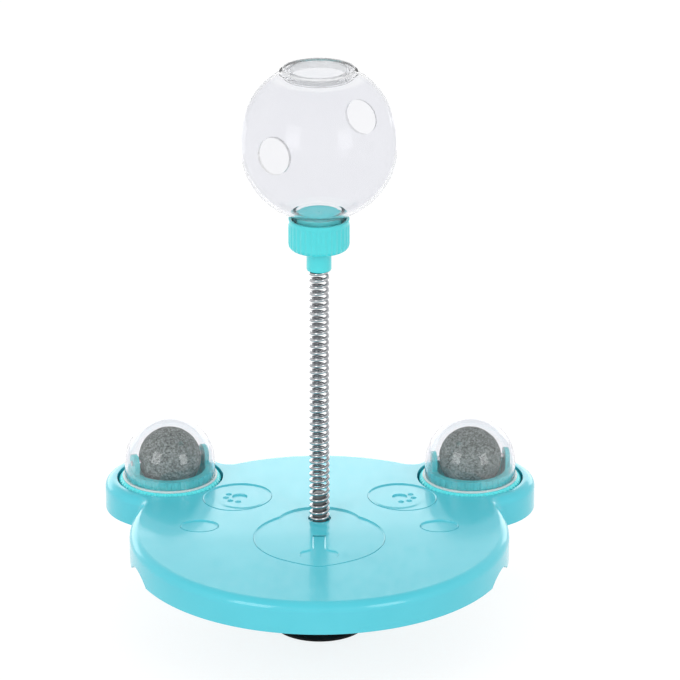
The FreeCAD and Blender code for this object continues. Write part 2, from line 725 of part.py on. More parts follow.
def screw(label, seat, kind, reach, upright):
    """A pan head screw with a cross recess, its head's seat at a height, pointing up or down."""
    body = new_body(label)
    shank, head_radius, head_height = (
        f"{kind}_{part}" for part in ("radius", "head_radius", "head_height")
    )
    way = 1 if upright else -1
    tip = f"({seat} + {way} * {reach})"
    top = f"({seat} - {way} * {head_height})"
    turned_profile(
        body,
        "screw",
        [
            ("0", tip),
            (f"{shank} - screw_chamfer", tip),
            (shank, f"{tip} - {way} * screw_chamfer"),
            (shank, seat),
            (head_radius, seat),
            (head_radius, f"{top} + {way} * screw_chamfer"),
            (f"{head_radius} - screw_chamfer", top),
            ("0", top),
        ],
    )
    slots = new_sketch(body, "recess_outline", offset=top)
    half = "recess_width / 2"
    corners = []
    for quarter in ("0", "90", "180", "270"):
        corners += [
            polar(f"{head_radius} - recess_rim", f"-{half}", quarter),
            polar(f"{head_radius} - recess_rim", half, quarter),
            polar(half, half, quarter),
        ]
    add_outline(slots, corners)
    cut(body, "recess", slots, "recess_depth", upward=upright)
    return body


def plug(label, root, height, upright):
    """A round plug that stands on its root, with a screw hole there and a chamfered free end."""
    body = new_body(label)
    way = 1 if upright else -1
    end = f"({root} + {way} * {height})"
    turned_profile(
        body,
        "plug",
        [
            ("0", root),
            ("plug_radius", root),
            ("plug_radius", f"{end} - {way} * screw_chamfer"),
            ("plug_radius - screw_chamfer", end),
            ("0", end),
        ],
    )
    hole = new_sketch(body, "bore_outline", offset=root)
    add_circle(hole, "0", "0", SHANK_BORE)
    cut(body, "bore", hole, f"{height} - plug_end_wall", upward=upright)
    return body


def lower_fasteners():
    """What holds the spring to the plate: a plug above, a washer and a screw from beneath."""
    plug("lower_plug", SPRING_SEAT, "lower_plug_height", upright=True)
    washer_low = "(boss_floor - washer_height)"
    ring_piece("lower_washer", "lower_washer_radius", SCREW_HOLE, washer_low, "washer_height")
    tip = f"({SPRING_SEAT} + lower_plug_height - plug_end_wall - screw_chamfer)"
    screw("lower_screw", washer_low, "screw", f"({tip} - {washer_low})", upright=True)


def upper_fasteners():
    """What holds the spring in the collar: a plug below, a washer and a screw from above."""
    plug("upper_plug", STEM_CEILING, "upper_plug_height", upright=False)
    washer_top = f"({COLLAR_INSIDE} + washer_height)"
    ring_piece("upper_washer", "upper_washer_radius", SCREW_HOLE, COLLAR_INSIDE, "washer_height")
    tip = f"({STEM_CEILING} - upper_plug_height + plug_end_wall + screw_chamfer)"
    screw("upper_screw", washer_top, "screw", f"({washer_top} - {tip})", upright=False)


# Mast spring

class Helix:
    """The centre line of the spring: close end turns and an even pitch between them."""

    def __init__(self):
        self.radius = size("spring_radius - wire_radius")
        self.low = size(f"{SPRING_SEAT} + seat_gap + wire_radius")
        self.high = size(f"{STEM_CEILING} - seat_gap - wire_radius")
        self.end_pitch = size("end_pitch")
        self.body_turns = SPRING_TURNS - 2
        self.pitch = (self.high - self.low - 2 * self.end_pitch) / self.body_turns

    def height(self, turns):
        """The height after a number of turns."""
        rise = min(turns, 1.0) * self.end_pitch
        rise += min(max(turns - 1.0, 0.0), self.body_turns) * self.pitch
        rise += max(turns - 1.0 - self.body_turns, 0.0) * self.end_pitch
        return self.low + rise

    def point(self, turns):
        """The point after a number of turns, wound as a right-hand thread."""
        angle = 2 * math.pi * turns
        return Vector(
            self.radius * math.cos(angle), self.radius * math.sin(angle), self.height(turns)
        )

    def direction(self, turns):
        """The unit tangent after a number of turns."""
        step = 1e-4
        way = self.point(turns + step) - self.point(turns - step)
        way.normalize()
        return way


def meeting_point(start, start_way, end, end_way):
    """Where the two arcs of a biarc meet, with tangent lengths that are the same on both."""
    chord = end - start
    ways = start_way + end_way
    square = 2 * (1 - start_way.dot(end_way))
    linear = 2 * chord.dot(ways)
    reach = (math.sqrt(linear**2 + 4 * square * chord.dot(chord)) - linear) / (2 * square)
    return (start + start_way * reach + end - end_way * reach) * 0.5


def arc_from(start, way, end):
    """The arc that leaves a point in a given direction and ends at another point."""
    chord = end - start
    inwards = way.cross(chord).cross(way)
    inwards.normalize()
    radius = chord.dot(chord) / (2 * chord.dot(inwards))
    centre = start + inwards * radius
    middle = (start - centre) + (end - centre)
    middle.normalize()
    return Part.Arc(start, centre + middle * radius, end).toShape()


def arc_middle(edge):
    """The point halfway along an arc."""
    return edge.valueAt((edge.FirstParameter + edge.LastParameter) / 2)


def wire_section(helix):
    """The flat-sided section of the wire at its start, as large as the round one."""
    way = helix.direction(0)
    outwards = Vector(1, 0, 0)
    upwards = way.cross(outwards)
    upwards.normalize()
    share = 2 * math.pi / WIRE_SIDES
    corner = size("wire_radius") * math.sqrt(share / math.sin(share))
    centre = helix.point(0)
    corners = [
        centre
        + outwards * (corner * math.cos(share * number))
        + upwards * (corner * math.sin(share * number))
        for number in range(WIRE_SIDES)
    ]
    return Part.makePolygon(corners + corners[:1])


def least_gap(helix):
    """The least gap between the wire's surfaces, one turn and its neighbours, from points."""
    steps = 48
    points = [helix.point(number / steps) for number in range(SPRING_TURNS * steps + 1)]
    closest = min(
        (points[first] - points[second]).Length
        for first in range(len(points))
        for second in range(first + steps // 2, min(first + 2 * steps, len(points)))
    )
    return closest - 2 * size("wire_radius")


def mast_spring():
    """One unbroken steel wire wound up the mast, each half turn a biarc."""
    helix = Helix()
    edges = []
    for number in range(2 * SPRING_TURNS):
        first, last = number / 2, (number + 1) / 2
        start, end = helix.point(first), helix.point(last)
        middle = meeting_point(start, helix.direction(first), end, helix.direction(last))
        edges.append(arc_from(start, helix.direction(first), middle))
        back = arc_from(end, helix.direction(last) * -1, middle)
        edges.append(Part.Arc(middle, arc_middle(back), end).toShape())
    path = Part.Wire(edges)
    pipe = Part.BRepOffsetAPI.MakePipeShell(path)
    pipe.add(wire_section(helix))
    pipe.build()
    pipe.makeSolid()
    spring = document.addObject("Part::Feature", "mast_spring")
    spring.Label = "mast_spring"
    spring.Shape = pipe.shape()
    spring.Placement = Placement()
    pieces.append(spring)
    wire_volume = math.pi * size("wire_radius") ** 2 * path.Length
    print(f"spring: least gap to itself {least_gap(helix):.2f} mm, pitch {helix.pitch:.3f} mm")
    print(f"spring: volume over section times length {spring.Shape.Volume / wire_volume:.3f}")


# Collar

def ball_collar():
    """The cup that holds the ball's neck, with flutes outside and a stem for the spring."""
    body = new_body("ball_collar")
    turned_profile(
        body,
        "collar",
        [
            ("stem_bore", "stem_low"),
            ("stem_radius", "stem_low"),
            ("stem_radius", COLLAR_LOW),
            ("collar_radius", COLLAR_LOW),
            ("collar_radius", COLLAR_TOP),
            (CUP_INSIDE, COLLAR_TOP),
            (CUP_INSIDE, COLLAR_INSIDE),
            ("locator_radius", COLLAR_INSIDE),
            ("locator_radius", f"{COLLAR_INSIDE} + locator_height"),
            ("locator_radius - locator_wall", f"{COLLAR_INSIDE} + locator_height"),
            ("locator_radius - locator_wall", COLLAR_INSIDE),
            (SCREW_HOLE, COLLAR_INSIDE),
            (SCREW_HOLE, STEM_CEILING),
            ("stem_bore", STEM_CEILING),
        ],
    )
    rounded(
        body,
        "collar_lower_edge",
        circle_at(size(COLLAR_LOW), size("collar_radius")),
        "collar_round",
    )
    stem_edge = circle_at(size("stem_low"), size("stem_radius"))
    bevelled(body, "stem_lower_edge", stem_edge, "stem_bevel")
    flute = new_sketch(body, "flute_outline", offset=f"{COLLAR_TOP} - flute_gap")
    add_circle(flute, "collar_radius - flute_sink + flute_radius", "0", "flute_radius")
    first = cut(body, "flute", flute, "collar_height - collar_round - flute_gap - flute_sink")
    around(body, "flutes", first, "flute_count")


def collar_cap():
    """The hood that stands on the collar's floor inside the ball's neck and hides the screw."""
    body = new_body("collar_cap")
    top = f"({COLLAR_INSIDE} + hood_height)"
    inside = "(hood_radius - hood_wall)"
    turned_profile(
        body,
        "hood",
        [
            (inside, COLLAR_INSIDE),
            ("hood_radius", COLLAR_INSIDE),
            ("hood_radius", top),
            ("0", top),
            ("0", f"{top} - hood_wall"),
            (inside, f"{top} - hood_wall"),
        ],
    )
    bevelled(body, "hood_edge", circle_at(size(top), size("hood_radius")), "hood_bevel")
    mark = new_sketch(body, "gate_outline", offset=top)
    add_circle(mark, "0", "0", "gate_radius")
    cut(body, "gate_mark", mark, "seat_gap")


# Treat ball

def on_ball(ball, radius, upper):
    """The height at which a radius meets a sphere round the ball's centre."""
    return f"(ball_centre {'+' if upper else '-'} sqrt({ball} ^ 2 - ({radius}) ^ 2))"


def treat_ball():
    """The clear ball with its neck, its rim for the cap and two treat holes."""
    body = new_body("treat_ball")
    lip = "(fill_radius + fill_lip_wall)"
    lip_low = f"({RIM_TOP} - fill_lip_depth)"
    turned_profile(
        body,
        "ball",
        [
            (NECK_BORE, NECK_LOW),
            ("neck_radius", NECK_LOW),
            ("neck_radius", on_ball("ball_radius", "neck_radius", upper=False)),
            (
                "rim_radius",
                on_ball("ball_radius", "rim_radius", upper=True),
                "ball_radius",
                "left",
            ),
            ("rim_radius", RIM_TOP),
            ("fill_radius", RIM_TOP),
            ("fill_radius", lip_low),
            (lip, lip_low),
            (lip, on_ball(BALL_INSIDE, lip, upper=True)),
            (NECK_BORE, on_ball(BALL_INSIDE, NECK_BORE, upper=False), BALL_INSIDE, "right"),
        ],
    )
    holes = new_sketch(body, "treat_hole_outline", "XZ_Plane")
    swing(holes, "-leak_turn")
    add_circle(holes, "0", "ball_centre + leak_rise", "leak_radius")
    cut(body, "treat_holes", holes, "3 * ball_radius", both_ways=True)


def fill_cap():
    """The clear cap on the ball: a flange with a skirt that plugs the fill opening."""
    body = new_body("fill_cap")
    outside = "(fill_radius - seat_gap)"
    inside = f"({outside} - cap_skirt_wall)"
    skirt_low = f"({RIM_TOP} - cap_skirt_depth)"
    turned_profile(
        body,
        "cap",
        [
            ("0", RIM_TOP),
            (inside, RIM_TOP),
            (inside, skirt_low),
            (outside, skirt_low),
            (outside, RIM_TOP),
            ("cap_radius", RIM_TOP),
            ("cap_radius", f"{RIM_TOP} + cap_height"),
            ("0", f"{RIM_TOP} + cap_height"),
        ],
    )


# Catnip ball stations, drawn on the vertical axis with the axle along X

def holder(name):
    """The turning tray: ribbed ring, seat for the dome, tray, hub and two lugs for the axle."""
    body = new_body(f"{name}_holder")
    core_top = f"({SHOULDER} - core_wall)"
    tray_outside = "(tray_radius + core_wall)"
    grip_inside = "(grip_radius - core_wall)"
    turned_profile(
        body,
        "tray",
        [
            ("0", HUB_LOW),
            ("hub_radius", HUB_LOW),
            ("hub_radius", HOLDER_LOW),
            (tray_outside, HOLDER_LOW),
            (tray_outside, core_top),
            (grip_inside, core_top),
            (grip_inside, HOLDER_LOW),
            ("grip_radius", HOLDER_LOW),
            ("grip_radius", SHOULDER),
            ("seat_radius", SHOULDER),
            ("seat_radius", f"{SHOULDER} + seat_height"),
            ("tray_radius", f"{SHOULDER} + seat_height"),
            ("tray_radius", TRAY_FLOOR),
            ("0", TRAY_FLOOR),
        ],
    )
    holder_lugs(body)
    bore = new_sketch(body, "pilot_outline", offset=HUB_LOW)
    add_circle(bore, "0", "0", "pivot_screw_radius + running_fit")
    cut(body, "pilot_bore", bore, "pivot_screw_reach + screw_chamfer", upward=True)
    plan = new_sketch(body, "grip_groove_outline", offset=SHOULDER)
    half = "grip_groove / 2"
    add_outline(
        plan,
        [
            ("grip_radius - grip_sink", "0"),
            ("grip_radius + cutter_reach", f"-{half}"),
            ("grip_radius + cutter_reach", half),
        ],
    )
    first = cut(body, "grip_groove_cut", plan, "grip_height")
    around(body, "grip", first, "grip_count")
    return body


def holder_lugs(body):
    """Two round-topped lugs on the ring, with a hole for the axle through both."""
    half = "lug_width / 2"
    low = f"({SHOULDER} - core_wall / 2)"
    for name, face in (("right", "lug_inner"), ("left", "-lug_inner - lug_wall")):
        lug = new_sketch(body, f"{name}_lug_outline", "YZ_Plane", offset=face)
        add_outline(
            lug,
            [
                (f"-{half}", low),
                (half, low),
                (half, "axle_height"),
                ("0", f"axle_height + {half}", half, "left"),
                (f"-{half}", "axle_height", half, "left"),
            ],
        )
        pad(body, f"{name}_lug", lug, "lug_wall")
    hole = new_sketch(body, "axle_hole_outline", "YZ_Plane")
    add_circle(hole, "0", "axle_height", AXLE_BORE)
    cut(body, "axle_holes", hole, "2 * grip_radius", both_ways=True)


def dust_dome(name):
    """The clear dome over the catnip ball, with a lip that rests on the holder's shoulder."""
    body = new_body(f"{name}_dust_dome")
    inside = "(dome_radius - dome_wall)"
    spring_line = "(axle_height - dome_drop)"
    turned_profile(
        body,
        "dome",
        [
            (inside, SHOULDER),
            ("dome_radius + dome_lip", SHOULDER),
            ("dome_radius + dome_lip", f"{SHOULDER} + dome_lip_height"),
            ("dome_radius", f"{SHOULDER} + dome_lip_height"),
            ("dome_radius", spring_line),
            ("0", f"{spring_line} + dome_radius", "dome_radius", "left"),
            ("0", f"{spring_line} + {inside}"),
            (inside, spring_line, inside, "right"),
        ],
    )
    return body


def cross_cylinder(name, radius, length):
    """A cylinder along X at the axle's height, the same length to both sides."""
    rod = document.addObject("Part::Cylinder", name)
    rod.Placement = Placement(Vector(0, 0, 0), Rotation(Vector(0, 1, 0), 90))
    rod.setExpression("Radius", bound(radius))
    rod.setExpression("Height", bound(length))
    rod.setExpression("Placement.Base.x", bound(f"-({length}) / 2"))
    rod.setExpression("Placement.Base.z", bound("axle_height"))
    return rod


def catnip_ball(name):
    """The pressed catnip ball with the bore for its axle."""
    sphere = document.addObject("Part::Sphere", f"{name}_pressed_ball")
    sphere.Placement = Placement(Vector(0, 0, 0), Rotation(Vector(0, 1, 0), 90))
    sphere.setExpression("Radius", bound("catnip_radius"))
    sphere.setExpression("Placement.Base.z", bound("axle_height"))
    drilled = document.addObject("Part::Cut", f"{name}_catnip_ball")
    drilled.Label = f"{name}_catnip_ball"
    drilled.Base = sphere
    drilled.Tool = cross_cylinder(f"{name}_ball_bore", AXLE_BORE, "3 * catnip_radius")
    pieces.append(drilled)
    return drilled


def catnip_axle(name):
    """The steel pin on which the catnip ball rolls."""
    axle = cross_cylinder(
        f"{name}_axle_pin", "axle_radius", "2 * (lug_inner + lug_wall + axle_overhang)"
    )
    turned_pin = document.addObject("Part::Chamfer", f"{name}_catnip_axle")
    turned_pin.Label = f"{name}_catnip_axle"
    turned_pin.Base = axle
    document.recompute()
    ends = [
        number
        for number, edge in enumerate(axle.Shape.Edges, start=1)
        if isinstance(edge.Curve, Part.Circle)
    ]
    bevel = size("axle_bevel")
    turned_pin.Edges = [(number, bevel, bevel) for number in ends]
    pieces.append(turned_pin)
    return turned_pin


def pivot_fasteners(name):
    """The washer and the screw under the socket that keep the holder in it."""
    low = f"({HUB_LOW} - pivot_washer_height)"
    hole = "(pivot_screw_radius + seat_gap)"
    label = f"{name}_pivot_washer"
    washer = ring_piece(label, "pivot_washer_radius", hole, low, "pivot_washer_height")
    reach = "(pivot_washer_height + pivot_screw_reach)"
    return washer, screw(f"{name}_pivot_screw", low, "pivot_screw", reach, upright=True)


def catnip_station(name, side, yaw):
    """All pieces of one ear, turned together by the yaw at which the holder stands."""
    station = [holder(name), catnip_ball(name), catnip_axle(name), dust_dome(name)]
    station += pivot_fasteners(name)
    for piece in station:
        piece.Placement = Placement(Vector(0, 0, 0), Rotation(Vector(0, 0, 1), 1))
        piece.setExpression("Placement.Rotation.Angle", bound(yaw))
        piece.setExpression("Placement.Base.x", bound(f"{side} * ear_side"))
        piece.setExpression("Placement.Base.y", bound("ear_behind"))


# The whole toy

def check_all():
    """Stop when an object failed or a piece has no valid shape."""
    document.recompute()
    for item in document.Objects:
        if "Invalid" in item.State or "Error" in item.State:
            raise RuntimeError(f"{item.Label}: {item.State}")
    for piece in pieces:
        if piece.Shape.isNull() or not piece.Shape.isValid():
            raise RuntimeError(f"{piece.Label} has no valid shape")


def main():
    """Model every piece, check it and write it to its own file."""
    fill_sheet()
    base_plate()
    suction_cup()
    lower_fasteners()
    mast_spring()
    upper_fasteners()
    ball_collar()
    collar_cap()
    treat_ball()
    fill_cap()
    catnip_station("left", -1, "left_yaw")
    catnip_station("right", 1, "right_yaw")
    check_all()
    os.makedirs("parts", exist_ok=True)
    for piece in pieces:
        piece.Shape.exportStep(f"parts/{piece.Label}.step")


main()
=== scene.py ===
"""Suction cup treat ball on a sway spring, dressed for the camera.

Sizes are in millimetres and are turned into metres where a mesh is made. The origin is the centre
of the suction cup's foot. +Z is up and -Y is the front.
"""

import logging
import math
from collections.abc import Callable, Iterable, Sequence
from dataclasses import dataclass
from enum import Enum
from functools import cache

import bpy
from mathutils import Matrix, Vector


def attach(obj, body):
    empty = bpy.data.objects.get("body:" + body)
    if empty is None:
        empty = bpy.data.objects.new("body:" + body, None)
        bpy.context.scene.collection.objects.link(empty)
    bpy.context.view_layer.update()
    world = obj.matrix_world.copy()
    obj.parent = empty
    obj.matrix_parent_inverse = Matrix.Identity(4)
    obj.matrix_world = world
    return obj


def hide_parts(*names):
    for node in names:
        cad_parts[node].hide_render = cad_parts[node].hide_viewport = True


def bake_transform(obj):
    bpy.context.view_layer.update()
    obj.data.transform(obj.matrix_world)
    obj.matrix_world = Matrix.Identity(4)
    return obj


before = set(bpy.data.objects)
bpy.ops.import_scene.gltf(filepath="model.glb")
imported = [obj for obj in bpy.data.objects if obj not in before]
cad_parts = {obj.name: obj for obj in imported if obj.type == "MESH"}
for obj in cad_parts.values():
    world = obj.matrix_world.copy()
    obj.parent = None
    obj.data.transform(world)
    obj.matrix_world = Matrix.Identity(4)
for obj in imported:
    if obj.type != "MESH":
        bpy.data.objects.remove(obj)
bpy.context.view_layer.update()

logging.basicConfig(level=logging.INFO, format="%(message)s")
LOG = logging.getLogger("treat_ball")

MM = 0.001
DOUBLES = MM / 1000
EAR_SIDE = 78.0
EAR_BEHIND = 53.0

Pair = tuple[float, float]
Triple = tuple[float, float, float]
Place = Triple | Vector
Colour = tuple[float, float, float]
Socket = bpy.types.NodeSocket


class Body(Enum):
    """The moving bodies that the pieces ride on."""

    BASE = "base"
    MAST = "mast"
    HEAD = "head"
    BALL = "ball"
    CAP = "cap"


class Slot(Enum):
    """The record's finishes, passed along with the new pieces but not given to them."""

    AQUA = "aqua"
    RUBBER = "black_rubber"
    ZINC = "zinc_steel"
    SPRING = "spring_steel"
    BALL = "clear_ball"
    DOME = "clear_dome"
    CATNIP = "pressed_catnip"


class Ear(Enum):
    """The two ears: name, side of the mast and turn of the holder in degrees."""

    LEFT = ("left", -1, 22.6)
    RIGHT = ("right", 1, 8.9)

    @property
    def label(self) -> str:
        """The word that starts the names of this ear's pieces."""
        return self.value[0]

    @property
    def side(self) -> int:
        """-1 for the left ear and 1 for the right one."""
        return self.value[1]

    @property
    def yaw(self) -> float:
        """The turn of the holder, in degrees."""
        return self.value[2]

    @property
    def place(self) -> Pair:
        """The ear's centre in plan, in millimetres."""
        return self.side * EAR_SIDE, EAR_BEHIND


# Lines and outlines


def arc(centre: Pair, radius: float, first: float, last: float, steps: int) -> list[Pair]:
    """Points along an arc.

    Args:
        centre: The arc's centre.
        radius: Its radius.
        first: The angle of the first point, in degrees.
        last: The angle of the last point, in degrees.
        steps: The number of chords.

    Returns:
        The points, both ends among them.
    """
    angles = [math.radians(first + (last - first) * step / steps) for step in range(steps + 1)]
    return [
        (centre[0] + radius * math.cos(angle), centre[1] + radius * math.sin(angle))
        for angle in angles
    ]


def bend(start: Pair, end: Pair, radius: float, steps: int) -> list[Pair]:
    """Points along the short arc from one point to another.

    Args:
        start: The first point.
        end: The last point.
        radius: The arc's radius, negative where its centre lies right of the way.
        steps: The number of chords.

    Returns:
        The points, both ends among them.
    """
    way = Vector(end) - Vector(start)
    left = Vector((-way.y, way.x)).normalized()
    rise = math.sqrt(max(radius**2 - (way.length / 2) ** 2, 0.0))
    centre = (Vector(start) + Vector(end)) / 2 + left * math.copysign(rise, radius)
    first = math.degrees(math.atan2(start[1] - centre.y, start[0] - centre.x))
    last = math.degrees(math.atan2(end[1] - centre.y, end[0] - centre.x))
    turn = (last - first + 180) % 360 - 180
    return arc(tuple(centre), abs(radius), first, first + turn, steps)


def oval(
    centre: Pair, half_along: float, half_across: float, slant: float, steps: int
) -> list[Pair]:
    """Points round an ellipse.

    Args:
        centre: The ellipse's centre.
        half_along: Its half size along one axis.
        half_across: Its half size along the other.
        slant: The turn of the first axis, in degrees.
        steps: The number of points.

    Returns:
        The points, without the first one again.
    """
    lean = math.radians(slant)
    points = []
    for step in range(steps):
        angle = math.tau * step / steps
        along, across = half_along * math.cos(angle), half_across * math.sin(angle)
        points.append(
            (
                centre[0] + along * math.cos(lean) - across * math.sin(lean),
                centre[1] + along * math.sin(lean) + across * math.cos(lean),
            )
        )
    return points


def both_sides(right: list[Pair]) -> list[Pair]:
    """Close an outline with its mirror image on the left.

    Args:
        right: The right half, from one end to the other.

    Returns:
        The whole outline, with the points in the middle, within a micrometre, only once.
    """
    return right + [(-x, y) for x, y in reversed(right) if x > 0.001]


# Shaping


def start_piece() -> None:
    """Leave edit mode and select nothing."""
    if bpy.context.mode != "OBJECT":
        bpy.ops.object.mode_set(mode="OBJECT")
    bpy.ops.object.select_all(action="DESELECT")


class Shape:
    """A new mesh object, shaped with operators. Its place is in its mesh."""

    def __init__(self, name: str) -> None:
        """Take the active object as the piece.

        Args:
            name: The piece's name.
        """
        self.thing = bpy.context.object
        self.thing.name = name
        self.thing.data.name = name

    @classmethod
    def drawn(cls, name: str, points: Sequence[Triple], closed: bool) -> "Shape":
        """A line through points, extruded vertex by vertex. It stays in edit mode.

        Args:
            name: The piece's name.
            points: The points, in millimetres.
            closed: Whether the last point joins the first.

        Returns:
            The line as a piece, with all of it selected.
        """
        start_piece()
        bpy.ops.mesh.primitive_plane_add(size=MM)
        shape = cls(name)
        bpy.ops.object.mode_set(mode="EDIT")
        bpy.ops.mesh.select_mode(type="VERT")
        bpy.ops.mesh.select_all(action="SELECT")
        bpy.ops.mesh.merge(type="CENTER")
        bpy.ops.transform.translate(value=Vector(points[0]) * MM)
        route = list(points[1:]) + ([points[0]] if closed else [])
        last = Vector(points[0])
        for point in route:
            step = (Vector(point) - last) * MM
            bpy.ops.mesh.extrude_vertices_move(TRANSFORM_OT_translate={"value": step})
            last = Vector(point)
        bpy.ops.mesh.select_all(action="SELECT")
        bpy.ops.mesh.remove_doubles(threshold=DOUBLES)
        return shape

    @classmethod
    def turned(cls, name: str, profile: Sequence[Pair], steps: int = 128) -> "Shape":
        """A piece of revolution round the Z axis, from a closed half section.

        Args:
            name: The piece's name.
            profile: Radius and height of each point, in millimetres.
            steps: The number of steps round the axis.

        Returns:
            The closed piece, in object mode.
        """
        on_axis = profile[0][0] == 0 and profile[-1][0] == 0
        points = [(radius, 0.0, height) for radius, height in profile]
        shape = cls.drawn(name, points, closed=not on_axis)
        bpy.ops.mesh.spin(steps=steps, angle=math.tau, center=(0, 0, 0), axis=(0, 0, 1))
        return shape.closed()

    @classmethod
    def prism(cls, name: str, outline: Sequence[Pair], low: float, high: float) -> "Shape":
        """A straight-sided piece over an outline.

        Args:
            name: The piece's name.
            outline: The outline's points in plan, in millimetres.
            low: The height of its underside.
            high: The height of its top.

        Returns:
            The closed piece, in object mode.
        """
        shape = cls.drawn(name, [(x, y, high) for x, y in outline], closed=True)
        bpy.ops.mesh.edge_face_add()
        bpy.ops.mesh.extrude_region_move(
            TRANSFORM_OT_translate={"value": (0, 0, (low - high) * MM)}
        )
        return shape.closed()

    @classmethod
    def rod(cls, name: str, start: Place, end: Place, radius: float, steps: int = 96) -> "Shape":
        """A round rod between two points.

        Args:
            name: The piece's name.
            start: The centre of one end, in millimetres.
            end: The centre of the other end.
            radius: The rod's radius.
            steps: The number of sides.

        Returns:
            The rod, in object mode.
        """
        way = Vector(end) - Vector(start)
        start_piece()
        bpy.ops.mesh.primitive_cylinder_add(
            vertices=steps, radius=radius * MM, depth=way.length * MM
        )
        shape = cls(name)
        middle = (Vector(start) + Vector(end)) / 2 * MM
        turn = way.to_track_quat("Z", "Y").to_matrix().to_4x4()
        shape.thing.data.transform(Matrix.Translation(middle) @ turn)
        return shape

    def closed(self) -> "Shape":
        """Merge doubles, turn all faces outwards and leave edit mode.

        Returns:
            The piece itself.
        """
        bpy.ops.mesh.select_all(action="SELECT")
        bpy.ops.mesh.remove_doubles(threshold=DOUBLES)
        bpy.ops.mesh.normals_make_consistent(inside=False)
        bpy.ops.object.mode_set(mode="OBJECT")
        return self

    def hold(self) -> None:
        """Make this the one selected and active object."""
        start_piece()
        self.thing.select_set(True)
        bpy.context.view_layer.objects.active = self.thing

    def pick(self, kind: str, test: Callable[..., bool]) -> None:
        """Select what passes a test and enter edit mode.

        Args:
            kind: "VERT", "EDGE" or "FACE".
            test: Takes a vertex's place, an edge's two ends or a face's centre and normal, all
                places in millimetres.
        """
        self.hold()
        mesh = self.thing.data
        bpy.ops.object.mode_set(mode="EDIT")
        bpy.ops.mesh.select_mode(type=kind)
        bpy.ops.mesh.select_all(action="DESELECT")
        bpy.ops.object.mode_set(mode="OBJECT")
        if kind == "VERT":
            chosen = [vertex for vertex in mesh.vertices if test(vertex.co / MM)]
        elif kind == "EDGE":
            places = [vertex.co / MM for vertex in mesh.vertices]
            chosen = [edge for edge in mesh.edges if test(*(places[end] for end in edge.vertices))]
        else:
            chosen = [face for face in mesh.polygons if test(face.center / MM, face.normal)]
        for item in chosen:
            item.select = True
        bpy.ops.object.mode_set(mode="EDIT")

    def settle(self) -> None:
        """Leave edit mode."""
        bpy.ops.object.mode_set(mode="OBJECT")

    def draw_in(self, test: Callable[[Vector], bool], size: float) -> None:
        """Draw some vertices in towards the Z axis.

        Args:
            test: Takes a vertex's place, in millimetres.
            size: What their distance from the axis is multiplied by.
        """
        self.pick("VERT", test)
        bpy.ops.transform.resize(value=(size, size, 1), center_override=(0, 0, 0))
        self.settle()

    def apply(self, kind: str, **settings: object) -> None:
        """Add a modifier with settings and apply it.

        Args:
            kind: The modifier's type.
            settings: Its properties.
        """
        self.hold()
        modifier = self.thing.modifiers.new(kind.lower(), kind)
        for key, value in settings.items():
            setattr(modifier, key, value)
        bpy.ops.object.modifier_apply(modifier=modifier.name)

    def combine(self, other: "Shape", operation: str) -> "Shape":
        """Join or cut with another piece, which is used up.

        Args:
            other: The other piece.
            operation: "UNION" or "DIFFERENCE".

        Returns:
            The piece itself.
        """
        self.apply("BOOLEAN", operation=operation, solver="EXACT", object=other.thing)
        bpy.data.objects.remove(other.thing)
        return self

    def add(self, other: "Shape") -> "Shape":
        """Unite with another piece, which is used up."""
        return self.combine(other, "UNION")

    def cut(self, other: "Shape") -> "Shape":
        """Cut by another piece, which is used up."""
        return self.combine(other, "DIFFERENCE")

    def soften(self, width: float, segments: int = 3, angle: float = 35) -> "Shape":
        """Round every edge that turns more than an angle.

        Args:
            width: The rounding's width, in millimetres.
            segments: Its number of steps.
            angle: The least turn of an edge, in degrees.

        Returns:
            The piece itself.
        """
        self.apply(
            "BEVEL",
            width=width * MM,
            segments=segments,
            limit_method="ANGLE",
            angle_limit=math.radians(angle),
            use_clamp_overlap=False,
        )
        return self

    def dished(self, draft: float, depth: float) -> "Shape":
        """Sink the underside, with walls that lean in.

        Args:
            draft: How far the walls lean in, in millimetres.
            depth: How far the underside sinks.

        Returns:
            The piece itself.
        """
        self.pick("FACE", lambda centre, normal: normal.z < -0.9)
        bpy.ops.mesh.inset(thickness=draft * MM, depth=depth * MM, use_even_offset=True)
        return self.closed()

    def smooth(self, angle: float = 40) -> "Shape":
        """Shade smooth up to an angle, with flat faces kept flat.

        Args:
            angle: The least turn of an edge that stays sharp, in degrees.

        Returns:
            The piece itself.
        """
        self.hold()
        bpy.ops.object.shade_smooth_by_angle(angle=math.radians(angle))
        self.apply("WEIGHTED_NORMAL", keep_sharp=True, weight=50)
        return self

    def moved(self, matrix: Matrix) -> "Shape":
        """Move the mesh by a matrix in metres."""
        self.thing.data.transform(matrix)
        return self

    def dress(self, material: bpy.types.Material) -> "Shape":
        """Give the whole piece one material.

        Args:
            material: The material.

        Returns:
            The piece itself.
        """
        self.thing.data.materials.clear()
        self.thing.data.materials.append(material)
        return self

    def trim(self, material: bpy.types.Material, test: Callable[..., bool]) -> "Shape":
        """Give some faces a material of their own.

        Args:
            material: The material.
            test: Takes a face's centre and normal.

        Returns:
            The piece itself.
        """
        self.thing.data.materials.append(material)
        self.pick("FACE", test)
        self.thing.active_material_index = len(self.thing.data.materials) - 1
        bpy.ops.object.material_slot_assign()
        self.settle()
        return self

    def count(self) -> int:
        """The number of triangles."""
        self.thing.data.calc_loop_triangles()
        return len(self.thing.data.loop_triangles)


def step_of(place: Vector, steps: int) -> int:
    """The number of the step round the Z axis where a vertex of a turned piece lies."""
    return round(math.atan2(place.y, place.x) / (math.tau / steps))


